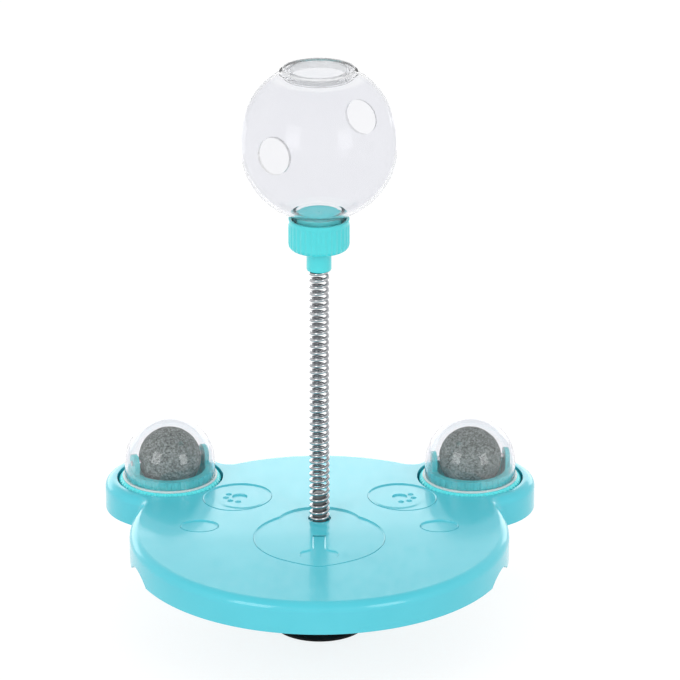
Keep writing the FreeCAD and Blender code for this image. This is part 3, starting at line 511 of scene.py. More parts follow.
def ride(shape: Shape, body: str, slot: Slot, *nodes: str) -> None:
    """Let a finished piece stand for its nodes and move with their body.

    Args:
        shape: The piece.
        body: The body's name.
        slot: The record's finish; not used.
        nodes: The nodes that it replaces.
    """
    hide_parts(*nodes)
    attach(shape.thing, body)
    LOG.info("%s: %d triangles on %s", shape.thing.name, shape.count(), body)


# Finishes


class Board:
    """The node tree of a material or a world, with short calls to wire it."""

    def __init__(self, owner: bpy.types.Material | bpy.types.World) -> None:
        """Clear the tree.

        Args:
            owner: The material or the world.
        """
        self.owner = owner
        owner.use_nodes = True
        self.tree = owner.node_tree
        self.tree.nodes.clear()

    def node(self, kind: str, *starts: Socket, **values: object) -> bpy.types.Node:
        """Add a node.

        Args:
            kind: The node's type.
            starts: The outputs that its first inputs take, in order.
            values: Its properties in lower case, and its sockets by name with spaces as "_".

        Returns:
            The node.
        """
        node = self.tree.nodes.new(kind)
        for key, value in values.items():
            socket = node.inputs.get(key.replace("_", " ")) if key[0].isupper() else None
            if socket is None:
                setattr(node, key, value)
            else:
                socket.default_value = value
        for start, end in zip(starts, node.inputs):
            self.link(start, end)
        return node

    def link(self, start: Socket, end: Socket) -> None:
        """Join an output to an input."""
        self.tree.links.new(start, end)

    def place(self) -> Socket:
        """The piece's own coordinates."""
        return self.node("ShaderNodeTexCoord").outputs["Object"]

    def ray(self, kind: str) -> Socket:
        """1 for the rays of a kind, named as the light path names them, and 0 for the others."""
        return self.node("ShaderNodeLightPath").outputs[kind]

    def looked_at(self) -> Socket:
        """1 for a ray from the camera, a gloss or a clear piece, and 0 for the others.

        Returns:
            The value.
        """
        most = self.ray("Is Camera Ray")
        for kind in ("Is Glossy Ray", "Is Transmission Ray"):
            larger = self.node("ShaderNodeMath", most, self.ray(kind), operation="MAXIMUM")
            most = larger.outputs[0]
        return most

    def grain(self, scale: float, detail: float = 3.0, stretch: Triple = (1, 1, 1)) -> Socket:
        """Noise over the piece's own coordinates.

        Args:
            scale: Bumps to the metre, about.
            detail: The noise's detail.
            stretch: How much denser the noise is along each axis.

        Returns:
            The noise's value, from 0 to 1.
        """
        mapping = self.node("ShaderNodeMapping", self.place(), Scale=stretch)
        noise = self.node("ShaderNodeTexNoise", mapping.outputs[0], Scale=scale, Detail=detail)
        return noise.outputs["Fac"]

    def between(
        self, value: Socket, low: float, high: float, start: float = 0.3, end: float = 0.7
    ) -> Socket:
        """Spread a value between two limits.

        Args:
            value: The value.
            low: The result where the value is start.
            high: The result where the value is end.
            start: The value's lower mark.
            end: The value's upper mark.

        Returns:
            The result.
        """
        marks = {"From_Min": start, "From_Max": end, "To_Min": low, "To_Max": high}
        return self.node("ShaderNodeMapRange", value, **marks).outputs["Result"]

    def blend(self, value: Socket, first: Colour | Socket, second: Colour | Socket) -> Socket:
        """Mix two colours by a value.

        Args:
            value: How much of the second colour there is.
            first: The first colour, or an output that gives it.
            second: The second colour, or an output that gives it.

        Returns:
            The mixed colour.
        """
        mix = self.node("ShaderNodeMix", value, data_type="RGBA")
        colours = [socket for socket in mix.inputs if socket.type == "RGBA"]
        for socket, colour in zip(colours, (first, second)):
            if isinstance(colour, tuple):
                socket.default_value = (*colour, 1)
            else:
                self.link(colour, socket)
        return next(socket for socket in mix.outputs if socket.type == "RGBA")

    def either(self, value: Socket, first: Socket | float, second: Socket) -> Socket:
        """Mix two numbers by a value.

        Args:
            value: How much of the second number there is.
            first: The first number, or an output that gives it.
            second: The output that gives the second number.

        Returns:
            The mixed number.
        """
        mix = self.node("ShaderNodeMix", value, data_type="FLOAT")
        if isinstance(first, float):
            mix.inputs["A"].default_value = first
        else:
            self.link(first, mix.inputs["A"])
        self.link(second, mix.inputs["B"])
        return mix.outputs["Result"]

    def relief(self, height: Socket, depth: float, strength: float) -> Socket:
        """A bump.

        Args:
            height: The bump's height, from 0 to 1.
            depth: Its depth, in millimetres.
            strength: How much of it shows.

        Returns:
            The bent normal.
        """
        bump = self.node("ShaderNodeBump", Distance=depth * MM, Strength=strength)
        self.link(height, bump.inputs["Height"])
        return bump.outputs["Normal"]

    def surface(
        self, colour: Socket, roughness: Socket, normal: Socket, **values: object
    ) -> bpy.types.Material:
        """The Principled shader on the material's output.

        Args:
            colour: The base colour.
            roughness: The roughness.
            normal: The normal.
            values: The shader's other sockets.

        Returns:
            The finished material.
        """
        shader = self.node("ShaderNodeBsdfPrincipled", **values)
        self.link(colour, shader.inputs["Base Color"])
        self.link(roughness, shader.inputs["Roughness"])
        self.link(normal, shader.inputs["Normal"])
        self.node("ShaderNodeOutputMaterial", shader.outputs["BSDF"])
        return self.owner


@dataclass(frozen=True)
class Finish:
    """What the finishes share: a name and two near colours, which a grain mixes."""

    name: str
    colour: Colour
    shade: Colour

    def board(self) -> Board:
        """The empty board of a new material."""
        return Board(bpy.data.materials.new(self.name))

    def mixed(self, board: Board, grain: Socket, start: float = 0.3, end: float = 0.7) -> Socket:
        """The two colours, mixed by a grain between two marks."""
        return board.blend(board.between(grain, 0.0, 1.0, start, end), self.colour, self.shade)


@dataclass(frozen=True)
class GlossPlastic(Finish):
    """Injection-moulded plastic with a gloss, faint flow marks and fine scuffs."""

    roughness: Pair = (0.12, 0.24)
    ripple: float = 0.02

    def material(self) -> bpy.types.Material:
        """Make the material.

        Returns:
            The material.
        """
        board = self.board()
        flow = board.grain(35.0, 2.0)
        scuffs = board.grain(260.0, 6.0, (1.0, 0.35, 1.0))
        skin = board.grain(900.0, 2.0)
        return board.surface(
            self.mixed(board, flow),
            board.between(scuffs, *self.roughness),
            board.relief(skin, self.ripple, 0.35),
            IOR=1.5,
            Coat_Weight=0.25,
            Coat_Roughness=0.06,
        )


@dataclass(frozen=True)
class ClearPlastic(Finish):
    """Clear moulded plastic with a faint tint, deeper where seen edge on, and slight waves."""

    edge: Colour
    roughness: Pair = (0.0, 0.04)
    wave: float = 0.02
    transmission: float = 1.0
    ior: float = 1.49
    veil: Pair = (0.55, 0.95)

    def material(self) -> bpy.types.Material:
        """Make the material.

        Returns:
            The material.
        """
        board = self.board()
        tint = board.grain(30.0, 2.0)
        haze = board.grain(180.0, 5.0)
        wave = board.grain(60.0, 1.0)
        facing = board.node("ShaderNodeLayerWeight", Blend=0.5).outputs["Facing"]
        edge_on = board.between(facing, 0.0, 1.0, *self.veil)
        return board.surface(
            board.blend(edge_on, self.mixed(board, tint), self.edge),
            board.between(haze, *self.roughness),
            board.relief(wave, self.wave, 0.3),
            IOR=self.ior,
            Transmission_Weight=self.transmission,
        )


@dataclass(frozen=True)
class Metal(Finish):
    """Bright steel with fine drawing marks, and painted shade on what lies near the mast's axis."""

    roughness: Pair = (0.14, 0.32)
    oiled: Colour | None = None
    oil_reach: Pair = (3.6, 5.0)

    def material(self) -> bpy.types.Material:
        """Make the material.

        Returns:
            The material.
        """
        board = self.board()
        tone = board.grain(400.0, 4.0)
        marks = board.grain(2200.0, 3.0, (1.0, 1.0, 2.5))
        colour = self.mixed(board, tone)
        # Painted shade: the wire is darker near the mast's axis, inside the coils.
        if self.oiled:
            flat = board.node("ShaderNodeMapping", board.place(), Scale=(1, 1, 0))
            reach = board.node("ShaderNodeVectorMath", flat.outputs[0], operation="LENGTH")
            near, far = (distance * MM for distance in self.oil_reach)
            unshaded = board.between(reach.outputs["Value"], 0.0, 1.0, near, far)
            colour = board.blend(unshaded, self.oiled, colour)
        return board.surface(
            colour,
            board.between(marks, *self.roughness),
            board.relief(marks, 0.01, 0.3),
            Metallic=1.0,
        )


@dataclass(frozen=True)
class Rubber(Finish):
    """Soft black rubber with a satin, slightly dusty skin."""

    def material(self) -> bpy.types.Material:
        """Make the material.

        Returns:
            The material.
        """
        board = self.board()
        dust = board.grain(160.0, 6.0)
        skin = board.grain(1500.0, 3.0)
        return board.surface(
            self.mixed(board, dust, 0.45, 0.8),
            board.between(dust, 0.32, 0.55),
            board.relief(skin, 0.03, 0.4),
            Specular_IOR_Level=0.12,
        )


@dataclass(frozen=True)
class PressedLeaf(Finish):
    """Pressed catnip: fine grey-green crumbs in many shades, with a rough skin."""

    mean: Colour
    crumbs: float = 1500.0

    def material(self) -> bpy.types.Material:
        """Make the material.

        Returns:
            The material.
        """
        board = self.board()
        crumbs = board.node(
            "ShaderNodeTexVoronoi", board.place(), Scale=self.crumbs, Randomness=1.0
        )
        tone = board.node("ShaderNodeSeparateColor", crumbs.outputs["Color"])
        mixed = self.mixed(board, tone.outputs["Red"], 0.1, 1.0)
        cloud = board.grain(140.0, 3.0)
        return board.surface(
            board.blend(board.between(cloud, 0.0, 0.2), mixed, self.mean),
            board.between(tone.outputs["Green"], 0.7, 0.95, 0.0, 1.0),
            board.relief(crumbs.outputs["Distance"], 0.12, 0.4),
            Specular_IOR_Level=0.3,
        )


class Look(Enum):
    """The object's finishes.

    FITTING is for the collar, and LIGHT, a lighter copy of it with painted light for what is seen
    through the clear ball and domes, for the hood and the holders. MOUTH, a less tinted copy of the
    ball's plastic with painted light, is for the ball's neck and fill rim and for the cap, RIM for
    the treat holes' walls and the cap's upright faces, and LIP for the domes' lips.
    """

    AQUA = GlossPlastic("aqua_plastic", (0.072, 0.57, 0.68), (0.085, 0.60, 0.71))
    FITTING = GlossPlastic("aqua_fitting_plastic", (0.06, 0.66, 0.70), (0.07, 0.69, 0.73))
    # Painted light: a lighter copy of the fitting aqua, for the parts seen through the clear ball
    # and domes.
    LIGHT = GlossPlastic("aqua_painted_light_plastic", (0.10, 0.83, 0.87), (0.11, 0.86, 0.90))
    RUBBER = Rubber("black_rubber", (0.003, 0.004, 0.005), (0.008, 0.009, 0.010))
    # The plug is painted dark grey: painted shade inside the spring's coils.
    PLUG = GlossPlastic("nylon_plug_painted_shade", (0.13, 0.132, 0.135), (0.16, 0.162, 0.165), (0.35, 0.5))
    ZINC = Metal("zinc_plate", (0.58, 0.59, 0.62), (0.68, 0.69, 0.70))
    SPRING = Metal(
        "spring_steel", (0.40, 0.405, 0.42), (0.52, 0.525, 0.54), (0.03, 0.08),
        # Painted shade inside the spring's coils.
        oiled=(0.27, 0.275, 0.29),
    )
    BALL = ClearPlastic(
        "clear_ball_plastic", (0.895, 0.898, 0.922), (0.91, 0.913, 0.935), (0.78, 0.79, 0.82),
        transmission=0.98, ior=1.18,
    )
    # Painted light: a less tinted copy of the ball's plastic, which lightens the neck, the fill rim
    # and the cap.
    MOUTH = ClearPlastic(
        "clear_mouth_painted_light_plastic", (0.975, 0.977, 0.985), (0.985, 0.987, 0.992), (0.93, 0.935, 0.95),
        transmission=0.97, ior=1.18,
    )
    RIM = ClearPlastic(
        "clear_edge_plastic", (0.90, 0.905, 0.92), (0.94, 0.943, 0.95), (0.90, 0.905, 0.92),
        (0.2, 0.3), transmission=0.15, ior=1.18,
    )
    DOME = ClearPlastic(
        "clear_dome_plastic", (0.97, 0.97, 0.99), (0.985, 0.985, 0.998), (0.78, 0.79, 0.86),
        (0.01, 0.06), transmission=0.965, ior=1.42, veil=(0.3, 0.9),
    )
    LIP = ClearPlastic(
        "clear_lip_plastic", (0.97, 0.985, 0.99), (0.99, 0.995, 1.0), (0.97, 0.985, 0.99),
        (0.15, 0.3), transmission=0.35,
    )
    CATNIP = PressedLeaf(
        "pressed_catnip", (0.055, 0.07, 0.065), (0.36, 0.41, 0.385), (0.15, 0.175, 0.168)
    )

    @cache
    def material(self) -> bpy.types.Material:
        """The finish's material, made when it is first asked for."""
        return self.value.material()


# Sub-assemblies


@dataclass(frozen=True)
class Recess:
    """An oval recess in the plate's face, with its place on the right side."""

    across: float
    behind: float
    half_along: float
    half_across: float
    sink: float
    steps: int = 160

    def outline(self, side: int = 1, slant: float = 0.0) -> list[Pair]:
        """The recess's outline in the top face.

        Args:
            side: -1 for the left one and 1 for the right one.
            slant: The turn of its first axis, in degrees.

        Returns:
            The points, in millimetres.
        """
        place = (side * self.across, self.behind)
        return oval(place, self.half_along, self.half_across, slant, self.steps)


@dataclass
class BasePlate:
    """The round plate with two ears, its face relief, sockets, boss and ribs."""

    radius: float = 96.0
    forward: float = 11.5
    top: float = 59.0
    low: float = 43.0
    wall: float = 2.3
    edge_round: float = 4.8
    edge_soft: float = 0.3
    ear_radius: float = 33.7
    ear_blend: float = 6.0
    socket_radius: float = 27.5
    socket_wall: float = 2.0
    socket_top: float = 49.8
    socket_under: float = 47.4
    hub_bore: float = 3.25
    rib_wall: float = 1.6
    rib_low: float = 48.5
    rib_bite: float = 0.2
    rib_turn: float = 45.0
    boss_radius: float = 14.0
    boss_low: float = 24.0
    root_bite: float = 1.0
    boss_bore: float = 8.0
    boss_floor: float = 53.0
    bead_throat: float = 7.2
    bead_rise: float = 2.0
    bead_lead: float = 1.0
    seat_radius: float = 5.7
    seat_height: float = 56.55
    screw_hole: float = 1.8
    notch_width: float = 27.0
    notch_rise: float = 5.0
    notch_turn: float = 18.0
    notch_reach: float = 15.0
    muzzle_radius: float = 33.0
    muzzle_ahead: float = 26.5
    muzzle_sink: float = 0.5
    muzzle_point: float = 62.5
    muzzle_end: float = -50.0
    point_bend: float = -60.0
    nose: Recess = Recess(0.0, -5.8, 21.0, 18.2, 0.8)
    mouth_sink: float = 1.1
    stem_half: float = 3.4
    stem_ends: Pair = (-22.5, -37.5)
    tongue_half: Pair = (10.0, 7.2)
    tongue_behind: float = -46.2
    tongue_start: float = 38.0
    mouth_bend: float = 5.2
    cheek: Recess = Recess(60.6, -12.2, 9.7, 7.5, 0.5, steps=96)
    eye: Recess = Recess(42.3, 25.2, 16.8, 18.4, 0.4)
    eye_slant: float = 45.0
    disc_place: Pair = (40.2, 23.9)
    disc_radius: float = 13.0
    toes: tuple[Pair, ...] = ((6.6, 4.5), (8.0, 0.1), (5.7, -3.8), (1.6, -5.1))
    toe_radius: float = 1.4
    pad: Pair = (0.9, 1.6)
    pad_radius: float = 3.8
    paw_sink: float = 0.8
    draft: float = 0.6
    upright_share: float = 0.2
    clear: float = 3.0

    def half_outline(self) -> list[Pair]:
        """The right half of the plan, from the front of the plate to its back.

        Returns:
            The points, in millimetres.
        """
        plate = Vector((0.0, -self.forward))
        ear = Vector(Ear.RIGHT.place)
        gap = ear - plate
        near, far = self.radius + self.ear_blend, self.ear_radius + self.ear_blend
        along = (near**2 - far**2 + gap.length**2) / (2 * gap.length)
        across = math.sqrt(near**2 - along**2)
        ahead = gap.normalized()
        left = Vector((-ahead.y, ahead.x))
        front, back = (plate + ahead * along + left * across * turn for turn in (-1, 1))

        def angle(centre: Vector, point: Vector) -> float:
            """The direction from a centre to a point, in degrees."""
            return math.degrees(math.atan2(point.y - centre.y, point.x - centre.x))

        points = arc(tuple(plate), self.radius, -90, angle(plate, front), 44)
        blend_end = angle(front, ear)
        points += arc(tuple(front), self.ear_blend, angle(front, plate) % 360, blend_end, 8)[1:]
        points += arc(tuple(ear), self.ear_radius, angle(ear, front), angle(ear, back), 64)[1:]
        blend_end = angle(back, plate) % 360
        points += arc(tuple(back), self.ear_blend, angle(back, ear) % 360, blend_end, 8)[1:]
        points += arc(tuple(plate), self.radius, angle(plate, back), 90, 12)[1:]
        return points

    def shell(self) -> Shape:
        """The dished plate and ears, open underneath.

        Returns:
            The plate.
        """
        outline = both_sides(self.half_outline())
        plate = Shape.prism("base_shell", outline, self.low, self.top)

        def on_top(first: Vector, second: Vector) -> bool:
            """Whether an edge lies in the top face."""
            return min(first.z, second.z) > self.top - 0.01

        plate.pick("EDGE", on_top)
        bpy.ops.mesh.bevel(offset=self.edge_round * MM, segments=12, profile=0.5, affect="EDGES")
        plate.pick("FACE", lambda centre, normal: normal.z < -0.9)
        bpy.ops.mesh.inset(thickness=self.wall * MM, use_even_offset=True)
        bpy.ops.mesh.extrude_region_move(
            TRANSFORM_OT_translate={"value": (0, 0, (self.top - self.wall - self.low) * MM)}
        )
        plate.settle()
        return plate

    def underside(self, plate: Shape) -> None:
        """Add the socket tubes, the boss and the ribs under the plate.

        Args:
            plate: The plate.
        """
        inside = self.top - self.wall / 2
        tube_radius = self.socket_radius + self.socket_wall
        for ear in Ear:
            ends = ((*ear.place, self.low), (*ear.place, inside))
            plate.add(Shape.rod("socket_tube", *ends, tube_radius))
        for turn in (-90, -90 + self.rib_turn, -90 - self.rib_turn, 90):
            plate.add(self.rib(turn, None))
        lean = math.degrees(math.atan2(EAR_BEHIND, EAR_SIDE))
        reach = math.hypot(EAR_SIDE, EAR_BEHIND) - self.socket_radius - self.root_bite
        for turn in (lean, 180 - lean):
            plate.add(self.rib(turn, reach))
        plate.add(Shape.rod("boss", (0, 0, self.boss_low), (0, 0, inside), self.boss_radius))

    def rib(self, turn: float, reach: float | None) -> Shape:
        """One stiffening rib from the boss outwards.

        Args:
            turn: Its direction, in degrees.
            reach: Its length from the mast axis, or None to end in the skirt.

        Returns:
            The rib.
        """
        angle = math.radians(turn)
        if reach is None:
            middle = self.radius - self.wall / 2
            swing = self.forward * math.cos(angle)
            reach = math.sqrt(middle**2 - swing**2) - self.forward * math.sin(angle)
        half = self.rib_wall / 2
        root = self.boss_radius - self.root_bite
        corners = [(root, -half), (reach, -half), (reach, half), (root, half)]
        outline = [
            (
                along * math.cos(angle) - across * math.sin(angle),
                along * math.sin(angle) + across * math.cos(angle),
            )
            for along, across in corners
        ]
        return Shape.prism("rib", outline, self.rib_low, self.top - self.wall + self.rib_bite)

    def openings(self, plate: Shape) -> None:
        """Cut the sockets, the boss's bore, the spring seat and the finger notches.

        Args:
            plate: The plate.
        """
        bore = [
            (0.0, self.low - self.clear),
            (self.socket_radius, self.low - self.clear),
            (self.socket_radius, self.socket_under),
            (self.hub_bore, self.socket_under),
            (self.hub_bore, self.socket_top),
            (self.socket_radius, self.socket_top),
            (self.socket_radius, self.top + self.clear),
            (0.0, self.top + self.clear),
        ]
        for across, behind in (ear.place for ear in Ear):
            place = Matrix.Translation((across * MM, behind * MM, 0))
            plate.cut(Shape.turned("socket_bore", bore, steps=160).moved(place))
        cup_bore = [
            (0.0, self.boss_low - self.bead_lead),
            (self.bead_throat + self.bead_lead, self.boss_low - self.bead_lead),
            (self.bead_throat, self.boss_low + self.bead_rise / 2),
            (self.boss_bore, self.boss_low + self.bead_rise),
            (self.boss_bore, self.boss_floor),
            (self.screw_hole, self.boss_floor),
            (self.screw_hole, self.seat_height),
            (self.seat_radius, self.seat_height),
            (self.seat_radius, self.top + self.clear),
            (0.0, self.top + self.clear),
        ]
        plate.cut(Shape.turned("cup_bore", cup_bore, steps=96))
        radius = ((self.notch_width / 2) ** 2 + self.notch_rise**2) / (2 * self.notch_rise)
        height = self.low + self.notch_rise - radius
        turn = math.radians(self.notch_turn)
        for side in (-1, 1):
            way = Vector((side * math.cos(turn), -math.sin(turn), 0.0))
            start, end = (
                Vector((0.0, -self.forward, height)) + way * (self.radius + reach)
                for reach in (-self.notch_reach, self.notch_reach)
            )
            plate.cut(Shape.rod("finger_notch", start, end, radius, steps=256))

    def hollow(self, name: str, outline: Sequence[Pair], sink: float, draft: float) -> Shape:
        """What a recess with leaning walls takes out of the top.

        Args:
            name: The name while it is made.
            outline: The recess's outline in the top face, in millimetres.
            sink: Its depth.
            draft: How far its walls lean in.

        Returns:
            The cutter.
        """
        straight = sink * self.upright_share
        cutter = Shape.prism(name, outline, self.top - straight, self.top + self.clear)
        return cutter.dished(draft, sink - straight)

    def relief(self, plate: Shape) -> None:
        """Cut the muzzle, nose, mouth, cheeks, eyes and paw prints into the top.

        Args:
            plate: The plate.
        """
        plate.cut(self.hollow("muzzle", self.muzzle_outline(), self.muzzle_sink, self.draft))
        plate.cut(self.hollow("nose", self.nose.outline(), self.nose.sink, self.draft))
        plate.cut(self.hollow("mouth", self.mouth_outline(), self.mouth_sink, self.draft))
        across, behind = self.disc_place
        spots = [(toe, self.toe_radius) for toe in self.toes] + [(self.pad, self.pad_radius)]
        for side in (-1, 1):
            cheek = self.cheek.outline(side)
            plate.cut(self.hollow("cheek", cheek, self.cheek.sink, self.draft))
            plate.cut(self.eye_hollow(side))
            for (outwards, back), radius in spots:
                place = (side * (across + outwards), behind + back)
                print_edge = arc(place, radius, 0, 360, 40)[:-1]
                plate.cut(self.hollow("paw", print_edge, self.paw_sink, self.draft / 3))

    def eye_hollow(self, side: int) -> Shape:
        """What an eye takes out: an oval round a disc that stays.

        Args:
            side: -1 or 1, the eye's side.

        Returns:
            The cutter.
        """
        outline = self.eye.outline(side, 90 - side * self.eye_slant)
        ring = self.hollow("eye", outline, self.eye.sink, self.draft)
        radius = self.disc_radius
        above = self.top + self.clear + 1
        profile = [
            (0.0, self.low),
            (radius, self.low),
            (radius, self.top - self.eye.sink),
            (radius - self.draft, self.top),
            (radius - self.draft, above),
            (0.0, above),
        ]
        across, behind = self.disc_place
        place = Matrix.Translation((side * across * MM, behind * MM, 0))
        return ring.cut(Shape.turned("eye_disc", profile).moved(place))

    def muzzle_outline(self) -> list[Pair]:
        """The outline of the muzzle, round with a soft point in front.

        Returns:
            The points, in millimetres.
        """
        centre = (0.0, -self.muzzle_ahead)
        right = arc(centre, self.muzzle_radius, 90, self.muzzle_end, 70)
        right += bend(right[-1], (0.0, -self.muzzle_point), self.point_bend, 16)[1:]
        return both_sides(right)

    def mouth_outline(self) -> list[Pair]:
        """The outline of the groove under the nose, with the tongue's rounded end.

        Returns:
            The points, in millimetres.
        """
        wide, long = self.tongue_half
        turns = arc((0.0, 0.0), 1.0, self.tongue_start, -90, 24)
        tongue = [(wide * x, self.tongue_behind + long * y) for x, y in turns]
        high, low = ((self.stem_half, end) for end in self.stem_ends)
        return both_sides([high, *bend(low, tongue[0], self.mouth_bend, 8), *tongue[1:]])

    def build(self) -> None:
        """Model, dress and place the plate."""
        plate = self.shell()
        self.underside(plate)
        self.openings(plate)
        self.relief(plate)
        plate.soften(self.edge_soft, angle=50).smooth(55).dress(Look.AQUA.material())
        ride(plate, Body.BASE.value, Slot.AQUA, "base_plate")


@dataclass
class SuctionCup:
    """The rubber foot under the plate."""

    radius: float = 24.0
    lip: float = 1.1
    land: float = 1.2
    hollow: float = 6.0
    waist: float = 10.5
    waist_low: float = 11.0
    post_top: float = 23.7
    neck: float = 6.7
    head_low: float = 26.3
    head: float = 7.8
    head_taper: Pair = (2.0, 3.0)
    head_top: float = 33.3

    def build(self) -> None:
        """Model, dress and place the cup."""
        edge = self.radius - self.land
        under = (edge**2 + self.hollow**2) / (2 * self.hollow)
        gap = self.waist**2 + self.waist_low**2 - self.radius**2 - self.lip**2
        centre = gap / (2 * (self.waist_low - self.lip))
        over = math.hypot(self.radius, self.lip - centre)
        profile = [
            *bend((0.0, self.hollow), (edge, 0.0), -under, 20),
            (self.radius, 0.0),
            *bend((self.radius, self.lip), (self.waist, self.waist_low), over, 20),
            (self.waist, self.post_top),
            (self.neck, self.post_top),
            (self.neck, self.head_low),
            (self.head, self.head_low),
            (self.head, self.head_top - self.head_taper[1]),
            (self.head - self.head_taper[0], self.head_top),
            (0.0, self.head_top),
        ]
        cup = Shape.turned("suction_cup_rubber", profile)
        cup.soften(0.3).smooth().dress(Look.RUBBER.material())
        ride(cup, Body.BASE.value, Slot.RUBBER, "suction_cup")


@dataclass
class Mast:
    """The steel spring between the plate and the collar, in two halves."""

    coil_radius: float = 4.36
    wire_radius: float = 0.84
    low: float = 57.6
    high: float = 201.35
    turns: int = 42
    end_pitch: float = 2.2
    steps: int = 40
    sides: int = 14
    lower_half: Pair = (58.0, 124.0)
    upper_half: Pair = (126.0, 192.0)

    @property
    def pitch(self) -> float:
        """The pitch between the close end turns."""
        return (self.high - self.low - 2 * self.end_pitch) / (self.turns - 2)

    def rise(self, turn: float) -> float:
        """The height of the wire's centre above the lower end.

        Args:
            turn: The number of turns from the lower end.

        Returns:
            The height, in millimetres.
        """
        body = self.turns - 2
        ends = min(turn, 1.0) + max(turn - 1.0 - body, 0.0)
        return ends * self.end_pitch + min(max(turn - 1.0, 0.0), body) * self.pitch

    def half(self, name: str, first: int, last: int) -> Shape:
        """A stretch of the spring, wound by whole turns.

        Args:
            name: The piece's name.
            first: The turn at its lower end.
            last: The turn at its upper end.

        Returns:
            The wound wire.
        """
        start_piece()
        bpy.ops.mesh.primitive_circle_add(
            vertices=self.sides,
            radius=self.wire_radius * MM,
            rotation=(math.pi / 2, 0, 0),
            location=(self.coil_radius * MM, 0, 0),
        )
        wire = Shape(name)
        bpy.ops.object.transform_apply(location=True, rotation=True, scale=True)
        wire.apply(
            "SCREW",
            angle=math.tau,
            axis="Z",
            iterations=last - first,
            screw_offset=self.pitch * MM,
            steps=self.steps,
            render_steps=self.steps,
            use_merge_vertices=False,
        )
        for vertex in wire.thing.data.vertices:
            turn = vertex.index // self.sides / self.steps
            vertex.co.z += (self.low + self.rise(first + turn) - self.pitch * turn) * MM
        wire.pick("VERT", lambda place: False)
        bpy.ops.mesh.select_non_manifold(use_multi_face=False, use_non_contiguous=False)
        bpy.ops.mesh.edge_face_add()
        wire.closed()
        return wire

    def build(self) -> None:
        """Model, dress and place both halves of the spring."""
        middle = self.turns // 2
        halves = (
            ("spring_lower", 0, middle, Body.BASE, Body.MAST, self.lower_half),
            ("spring_upper", middle, self.turns, Body.MAST, Body.HEAD, self.upper_half),
        )
        for name, first, last, below, above, (start, end) in halves:
            wire = self.half(name, first, last).smooth(60).dress(Look.SPRING.material())
            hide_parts("mast_spring")
            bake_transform(wire.thing)
            LOG.info("%s: %d triangles, bends", name, wire.count())


@dataclass
class Collar:
    """The fluted cup for the ball's neck, and the hood inside it."""

    stem_low: float = 192.4
    stem_radius: float = 6.25
    stem_bore: float = 5.55
    stem_ceiling: float = 202.4
    stem_bevel: float = 0.6
    low: float = 203.4
    radius: float = 15.25
    top: float = 219.4
    round: float = 3.0
    inside: float = 13.65
    floor: float = 206.0
    locator: tuple[float, float, float] = (9.3, 8.0, 209.0)
    screw_hole: float = 1.8
    flutes: int = 32
    flute_steps: int = 8
    flute_sink: float = 0.5
    flute_gap: float = 2.2
    flute_fade: float = 0.5
    hood_radius: float = 11.1
    hood_inside: float = 9.5
    hood_top: float = 222.0
    hood_wall: float = 1.6
    hood_bevel: float = 0.8
    gate: Pair = (1.0, 0.3)

    def cup(self) -> Shape:
        """The collar with its flutes and its stem.

        Returns:
            The collar.
        """
        outer, inner, ring_top = self.locator
        corner = (self.radius - self.round, self.low + self.round)
        profile = [
            (self.stem_bore, self.stem_low),
            (self.stem_radius - self.stem_bevel, self.stem_low),
            (self.stem_radius, self.stem_low + self.stem_bevel),
            (self.stem_radius, self.low),
            *arc(corner, self.round, -90, 0, 10),
            (self.radius, self.top - self.flute_gap - self.flute_fade),
            (self.radius, self.top - self.flute_gap),
            (self.radius, self.top),
            (self.inside, self.top),
            (self.inside, self.floor),
            (outer, self.floor),
            (outer, ring_top),
            (inner, ring_top),
            (inner, self.floor),
            (self.screw_hole, self.floor),
            (self.screw_hole, self.stem_ceiling),
            (self.stem_bore, self.stem_ceiling),
        ]
        steps = self.flutes * self.flute_steps
        cup = Shape.turned("collar_cup", profile, steps)
        top = self.top - self.flute_gap - 0.2
        low = self.low + self.round * 0.3
        for column in range(1, self.flute_steps):
            share = math.sin(math.pi * column / self.flute_steps) ** 2

            def in_column(place: Vector) -> bool:
                """Whether a vertex of the wall lies in this column of a flute.

                Args:
                    place: The vertex's place, in millimetres.

                Returns:
                    Whether it does.
                """
                return (
                    step_of(place, steps) % self.flute_steps == column
                    and low < place.z < top
                    and math.hypot(place.x, place.y) > self.inside + 0.2
                )

            cup.draw_in(in_column, 1 - self.flute_sink * share / self.radius)
        return cup

    def hood(self) -> Shape:
        """The hood on the collar's floor, with its moulding mark.

        Returns:
            The hood.
        """
        gate_radius, gate_sink = self.gate
        ceiling = self.hood_top - self.hood_wall
        profile = [
            (0.0, self.hood_top - gate_sink),
            (gate_radius, self.hood_top - gate_sink),
            (gate_radius, self.hood_top),
            (self.hood_radius - self.hood_bevel, self.hood_top),
            (self.hood_radius, self.hood_top - self.hood_bevel),
            (self.hood_radius, self.floor),
            (self.hood_inside, self.floor),
            (self.hood_inside, ceiling),
            (0.0, ceiling),
        ]
        return Shape.turned("collar_hood", profile, steps=96)

    def build(self) -> None:
        """Model, dress and place the collar and the hood."""
        cup = self.cup().soften(0.35, angle=50).smooth(50).dress(Look.FITTING.material())
        ride(cup, Body.HEAD.value, Slot.AQUA, "ball_collar")
        hood = self.hood().soften(0.12, segments=2).smooth().dress(Look.LIGHT.material())
        ride(hood, Body.HEAD.value, Slot.AQUA, "collar_cap")


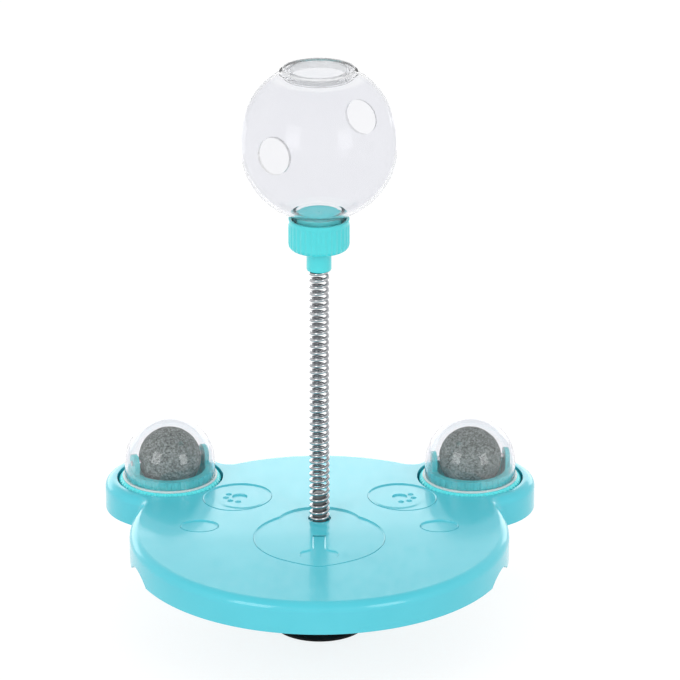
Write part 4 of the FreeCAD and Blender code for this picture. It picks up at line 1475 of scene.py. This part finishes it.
@dataclass
class TreatBall:
    """The clear ball with its neck, fill rim and treat holes, and its cap."""

    centre: float = 259.4
    radius: float = 40.0
    wall: float = 1.8
    neck_radius: float = 13.3
    neck_low: float = 206.3
    neck_high: float = 223.5
    rim_radius: float = 19.5
    rim_top: float = 295.0
    fill_radius: float = 15.6
    lip_wall: float = 1.4
    lip_low: float = 291.4
    hole_radius: float = 9.2
    hole_rise: float = 2.5
    hole_turn: float = 34.1
    hole_reach: float = 5.0
    cap_radius: float = 17.8
    cap_top: float = 296.5
    skirt_low: float = 291.6
    skirt_outside: float = 15.3
    skirt_inside: float = 13.9

    def ball(self) -> Shape:
        """The ball with both treat holes.

        Returns:
            The ball.
        """
        inside = self.radius - self.wall
        bore = self.neck_radius - self.wall
        lip = self.fill_radius + self.lip_wall
        middle = (0.0, self.centre)
        outer_low = -math.degrees(math.acos(self.neck_radius / self.radius))
        outer_high = math.degrees(math.acos(self.rim_radius / self.radius))
        inner_high = math.degrees(math.acos(lip / inside))
        inner_low = -math.degrees(math.acos(bore / inside))
        profile = [
            (bore, self.neck_low),
            (self.neck_radius, self.neck_low),
            *arc(middle, self.radius, outer_low, outer_high, 72),
            (self.rim_radius, self.rim_top),
            (self.fill_radius, self.rim_top),
            (self.fill_radius, self.lip_low),
            (lip, self.lip_low),
            *arc(middle, inside, inner_high, inner_low, 72),
        ]
        ball = Shape.turned("clear_ball", profile, steps=160).soften(0.25, segments=2)
        middle, way = self.hole_line()
        for sign in (-1, 1):
            start = middle + way * sign * self.radius / 2
            end = middle + way * sign * (self.radius + self.hole_reach)
            ball.cut(Shape.rod("treat_hole", start, end, self.hole_radius, steps=128))
        return ball

    def hole_line(self) -> tuple[Vector, Vector]:
        """The line through both treat holes.

        Returns:
            Its middle, in millimetres, and its direction.
        """
        turn = math.radians(self.hole_turn)
        way = Vector((-math.sin(turn), -math.cos(turn), 0.0))
        return Vector((0.0, 0.0, self.centre + self.hole_rise)), way

    def in_hole(self, centre: Vector, normal: Vector) -> bool:
        """Whether a face of the ball lies in a treat hole's wall.

        Args:
            centre: The face's centre, in millimetres.
            normal: The face's normal.

        Returns:
            Whether it does.
        """
        middle, way = self.hole_line()
        gap = centre - middle
        off = (gap - way * gap.dot(way)).length
        return abs(off - self.hole_radius) < 0.3 and abs(normal.dot(way)) < 0.5

    def in_mouth(self, centre: Vector, normal: Vector) -> bool:
        """Whether a face of the ball lies at the neck or at the fill rim."""
        return not self.neck_high < centre.z < self.lip_low - 0.01

    def cap(self) -> Shape:
        """The cap with its skirt.

        Returns:
            The cap.
        """
        profile = [
            (0.0, self.rim_top),
            (self.skirt_inside, self.rim_top),
            (self.skirt_inside, self.skirt_low),
            (self.skirt_outside, self.skirt_low),
            (self.skirt_outside, self.rim_top),
            (self.cap_radius, self.rim_top),
            (self.cap_radius, self.cap_top),
            (0.0, self.cap_top),
        ]
        return Shape.turned("clear_cap", profile)

    def build(self) -> None:
        """Model, dress and place the ball and the cap."""
        ball = self.ball().smooth(30).dress(Look.BALL.material())
        ball.trim(Look.RIM.material(), self.in_hole).trim(Look.MOUTH.material(), self.in_mouth)
        ride(ball, Body.BALL.value, Slot.BALL, "treat_ball")
        cap = self.cap().soften(0.25).smooth().dress(Look.MOUTH.material())
        cap.trim(Look.RIM.material(), lambda centre, normal: abs(normal.z) < 0.5)
        ride(cap, Body.CAP.value, Slot.BALL, "fill_cap")


@dataclass
class CatnipStation:
    """One ear's turning holder, its catnip ball on an axle and its dome."""

    ear: Ear
    hub_low: float = 47.1
    hub_radius: float = 3.2
    low: float = 50.1
    floor: float = 52.1
    shoulder: float = 59.3
    seat_top: float = 64.3
    grip_radius: float = 26.4
    grip_count: int = 60
    grip_steps: int = 8
    grip_groove: int = 3
    grip_sink: float = 0.7
    grip_chamfer: float = 1.2
    seat_ribs: int = 40
    seat_groove: int = 5
    seat_sink: float = 0.5
    seat_radius: float = 22.0
    tray_radius: float = 18.4
    wall: float = 2.0
    lug_inner: float = 17.8
    lug_wall: float = 2.5
    lug_width: float = 9.0
    axle_height: float = 69.3
    axle_radius: float = 1.5
    axle_overhang: float = 0.6
    bore_play: float = 0.05
    clear: float = 2.0
    catnip_radius: float = 16.3
    lump_size: float = 3.0
    lump_sink: float = 0.3
    dome_radius: float = 23.5
    dome_wall: float = 1.2
    dome_straight: float = 8.0
    dome_lip: Pair = (1.1, 1.0)
    pilot: Pair = (1.2, 4.5)

    def stand(self, shape: Shape) -> Shape:
        """Turn a piece by the ear's yaw and put it on the ear.

        Args:
            shape: The piece, made round the mast's axis.

        Returns:
            The piece itself.
        """
        turn = Matrix.Rotation(math.radians(self.ear.yaw), 4, "Z")
        place = Vector((*self.ear.place, 0)) * MM
        return shape.moved(Matrix.Translation(place) @ turn)

    def along_axle(self, name: str, half: float, radius: float) -> Shape:
        """A rod along the axle's line.

        Args:
            name: Its name.
            half: Its half length, in millimetres.
            radius: Its radius.

        Returns:
            The rod.
        """
        height = self.axle_height
        return Shape.rod(name, (-half, 0, height), (half, 0, height), radius, steps=48)

    def holder(self) -> Shape:
        """The tray with its ribbed ring, dome seat and axle lugs.

        Returns:
            The tray.
        """
        tray_outside = self.tray_radius + self.wall
        grip_inside = self.grip_radius - self.wall
        ceiling = self.shoulder - self.wall
        profile = [
            (0.0, self.hub_low),
            (self.hub_radius, self.hub_low),
            (self.hub_radius, self.low),
            (tray_outside, self.low),
            (tray_outside, ceiling),
            (grip_inside, ceiling),
            (grip_inside, self.low),
            (self.grip_radius, self.low),
            (self.grip_radius, self.shoulder - self.grip_chamfer),
            (self.grip_radius - self.grip_chamfer, self.shoulder),
            (self.seat_radius, self.shoulder),
            (self.seat_radius, self.seat_top),
            (self.tray_radius, self.seat_top),
            (self.tray_radius, self.floor),
            (0.0, self.floor),
        ]
        steps = self.grip_count * self.grip_steps
        tray = Shape.turned(f"{self.ear.label}_tray", profile, steps)
        edge = self.grip_radius - self.grip_chamfer
        seat_steps = steps // self.seat_ribs
        walls = (
            (edge, self.grip_radius, self.grip_steps, self.grip_groove, self.grip_sink),
            (self.seat_radius, self.seat_radius, seat_steps, self.seat_groove, self.seat_sink),
        )
        for inner, outer, spacing, width, sink in walls:

            def in_groove(place: Vector) -> bool:
                """Whether a vertex of the ribbed wall lies at the bottom of a groove.

                Args:
                    place: The vertex's place, in millimetres.

                Returns:
                    Whether it does.
                """
                reach = math.hypot(place.x, place.y)
                in_wall = inner - 0.1 < reach < outer + 0.1
                return in_wall and step_of(place, steps) % spacing < width

            tray.draw_in(in_groove, 1 - sink / outer)
        for side in (-1, 1):
            tray.add(self.lug(side))
        axle = self.lug_inner + self.lug_wall + self.clear
        tray.cut(self.along_axle("axle_hole", axle, self.axle_radius + self.bore_play))
        radius, reach = self.pilot
        start, end = (0, 0, self.hub_low - 1), (0, 0, self.hub_low + reach)
        return tray.cut(Shape.rod("pilot", start, end, radius, steps=32))

    def lug(self, side: int) -> Shape:
        """One round-topped lug for the axle.

        Args:
            side: -1 or 1, its side along the axle.

        Returns:
            The lug.
        """
        half = self.lug_width / 2
        low = self.shoulder - self.wall / 2
        outline = [(half, low), *arc((0.0, self.axle_height), half, 0, 180, 24), (-half, low)]
        lug = Shape.prism("lug", outline, self.lug_inner, self.lug_inner + self.lug_wall)
        upright = Matrix(((0, 0, 1, 0), (1, 0, 0, 0), (0, 1, 0, 0), (0, 0, 0, 1)))
        lug.moved(upright)
        if side < 0:
            lug.moved(Matrix.Rotation(math.pi, 4, "Z"))
        return lug

    def dome(self) -> Shape:
        """The clear dome with its lip.

        Returns:
            The dome.
        """
        inside = self.dome_radius - self.dome_wall
        line = self.shoulder + self.dome_straight
        lip, lip_height = self.dome_lip
        profile = [
            *arc((0.0, line), inside, 90, 0, 40),
            (inside, self.shoulder),
            (self.dome_radius + lip, self.shoulder),
            (self.dome_radius + lip, self.shoulder + lip_height),
            (self.dome_radius, self.shoulder + lip_height),
            *arc((0.0, line), self.dome_radius, 0, 90, 40),
        ]
        profile[0] = (0.0, profile[0][1])
        profile[-1] = (0.0, profile[-1][1])
        return Shape.turned(f"{self.ear.label}_dome", profile, steps=160)

    def catnip(self) -> Shape:
        """The pressed ball with its bore.

        Returns:
            The ball.
        """
        start_piece()
        bpy.ops.mesh.primitive_ico_sphere_add(subdivisions=6, radius=self.catnip_radius * MM)
        ball = Shape(f"{self.ear.label}_catnip")
        lumps = bpy.data.textures.new("pressed_lumps", "CLOUDS")
        lumps.noise_scale = self.lump_size * MM
        lumps.noise_depth = 1
        ball.apply("DISPLACE", texture=lumps, strength=self.lump_sink * MM, mid_level=1.0)
        ball.moved(Matrix.Translation((0, 0, self.axle_height * MM)))
        bore = self.axle_radius + self.bore_play
        return ball.cut(self.along_axle("ball_bore", self.catnip_radius + self.clear, bore))

    def axle(self) -> Shape:
        """The steel pin."""
        half = self.lug_inner + self.lug_wall + self.axle_overhang
        return self.along_axle(f"{self.ear.label}_axle", half, self.axle_radius)

    def build(self) -> None:
        """Model, dress and place the station."""
        label = self.ear.label
        tray = self.stand(self.holder().soften(0.15, segments=2, angle=45)).smooth()
        ride(tray.dress(Look.LIGHT.material()), f"{label}_tray", Slot.AQUA, f"{label}_holder")
        catnip = self.stand(self.catnip()).smooth(60).dress(Look.CATNIP.material())
        ride(catnip, f"{label}_catnip", Slot.CATNIP, f"{label}_catnip_ball")
        axle = self.stand(self.axle().soften(0.3, segments=2)).smooth()
        ride(axle.dress(Look.ZINC.material()), f"{label}_catnip", Slot.ZINC, f"{label}_catnip_axle")
        dome = self.stand(self.dome().soften(0.25)).smooth().dress(Look.DOME.material())
        lip_top = self.shoulder + self.dome_lip[1] + 0.01
        dome.trim(Look.LIP.material(), lambda centre, normal: centre.z < lip_top)
        ride(dome, f"{label}_dome", Slot.DOME, f"{label}_dust_dome")


@dataclass
class Kept:
    """The plugs and fasteners, whose CAD shape stays, by the place that starts their names."""

    plugs: tuple[str, ...] = ("lower", "upper")
    fasteners: tuple[str, ...] = ("lower", "upper", "left_pivot", "right_pivot")

    def dress(self) -> None:
        """Give each node its material."""
        looks = {f"{place}_plug": Look.PLUG for place in self.plugs}
        for piece in ("washer", "screw"):
            looks |= {f"{place}_{piece}": Look.ZINC for place in self.fasteners}
        for name, look in looks.items():
            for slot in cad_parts[name].material_slots:
                slot.material = look.material()
            LOG.info("%s: %s", name, look.value.name)


# Studio


@dataclass(frozen=True)
class Softbox:
    """A soft lamp that faces the object, with its place and size in metres."""

    name: str
    place: Triple
    size: Pair
    power: float
    aim: Triple = (0.0, 0.0, 0.12)
    seen_through: bool = True

    def hang(self) -> None:
        """Hang the lamp."""
        lamp = bpy.data.lights.new(self.name, "AREA")
        lamp.shape = "RECTANGLE"
        lamp.size, lamp.size_y = self.size
        lamp.energy = self.power
        light = bpy.data.objects.new(self.name, lamp)
        light.location = self.place
        way = Vector(self.aim) - Vector(self.place)
        light.rotation_euler = way.to_track_quat("-Z", "Y").to_euler()
        light.visible_camera = False
        light.visible_transmission = self.seen_through
        bpy.context.scene.collection.objects.link(light)


@dataclass
class Studio:
    """The floor, the lights and the camera."""

    focal_pixels: float = 4000.0
    frame_pixels: float = 680.0
    sensor: float = 36.0
    camera_place: Triple = (10.4, -1866.4, 867.6)
    camera_pitch: float = 69.1
    floor_size: float = 6.0
    floor_pale: Pair = (0.85, 0.87)
    floor_faint: Pair = (0.23, 0.25)
    floor_glow: float = 0.82
    ceiling_start: Pair = (0.5, 0.85)
    ceiling: float = 0.5
    ceiling_through: float = 0.9
    ambient: float = 0.85
    softboxes: tuple[Softbox, ...] = (
        Softbox("left_softbox", (-1.05, -1.25, 0.85), (0.7, 0.9), 6.0),
        Softbox("right_softbox", (1.05, -1.25, 0.75), (0.6, 0.8), 4.5),
        Softbox("back_softbox", (-0.05, 0.42, 0.15), (1.0, 0.2), 1.0, seen_through=False),
    )

    def camera(self) -> None:
        """Put the camera where the photograph was taken from."""
        lens = bpy.data.cameras.new("camera")
        lens.sensor_width = self.sensor
        lens.lens = self.focal_pixels / self.frame_pixels * self.sensor
        lens.clip_start = 0.05
        lens.clip_end = 50.0
        camera = bpy.data.objects.new("camera", lens)
        camera.location = Vector(self.camera_place) * MM
        camera.rotation_euler = (math.radians(self.camera_pitch), 0.0, 0.0)
        bpy.context.scene.collection.objects.link(camera)
        bpy.context.scene.camera = camera

    def floor(self) -> None:
        """A pale floor that reads as white and keeps a faint shadow."""
        start_piece()
        bpy.ops.mesh.primitive_plane_add(size=self.floor_size)
        floor = Shape("floor")
        board = Board(bpy.data.materials.new("pale_floor"))
        cloth = board.between(board.grain(8.0, 3.0), 0.0, 1.0)
        pale, faint = (
            board.node("ShaderNodeBsdfDiffuse", board.blend(cloth, (dark,) * 3, (light,) * 3))
            for dark, light in (self.floor_pale, self.floor_faint)
        )
        glow = board.node("ShaderNodeEmission", Strength=self.floor_glow)
        white = board.node("ShaderNodeAddShader", faint.outputs[0], glow.outputs[0])
        seen = (board.looked_at(), pale.outputs[0], white.outputs[0])
        mix = board.node("ShaderNodeMixShader", *seen)
        board.node("ShaderNodeOutputMaterial", mix.outputs[0])
        floor.dress(board.owner)

    def world(self) -> None:
        """White surroundings under a greyer ceiling, which light a little less than they show."""
        board = Board(bpy.data.worlds.new("white_studio"))
        ways = board.node("ShaderNodeTexCoord").outputs["Generated"]
        height = board.node("ShaderNodeSeparateXYZ", ways).outputs["Z"]
        mirrored, through = (
            board.between(height, 1.0, grey, *self.ceiling_start)
            for grey in (self.ceiling, self.ceiling_through)
        )
        shown = board.either(board.ray("Is Transmission Ray"), mirrored, through)
        strength = board.either(board.looked_at(), self.ambient, shown)
        light = board.node("ShaderNodeBackground", Color=(1.0, 1.0, 1.0, 1.0))
        board.link(strength, light.inputs["Strength"])
        board.node("ShaderNodeOutputWorld", light.outputs[0])
        bpy.context.scene.world = board.owner

    def build(self) -> None:
        """Set up the whole studio."""
        self.floor()
        self.world()
        for softbox in self.softboxes:
            softbox.hang()
        self.camera()
        bpy.context.scene.view_settings.view_transform = "Standard"


def main() -> None:
    Kept().dress()
    BasePlate().build()
    SuctionCup().build()
    Mast().build()
    Collar().build()
    TreatBall().build()
    for ear in Ear:
        CatnipStation(ear).build()
    Studio().build()
    start_piece()


if __name__ == "__main__":
    main()
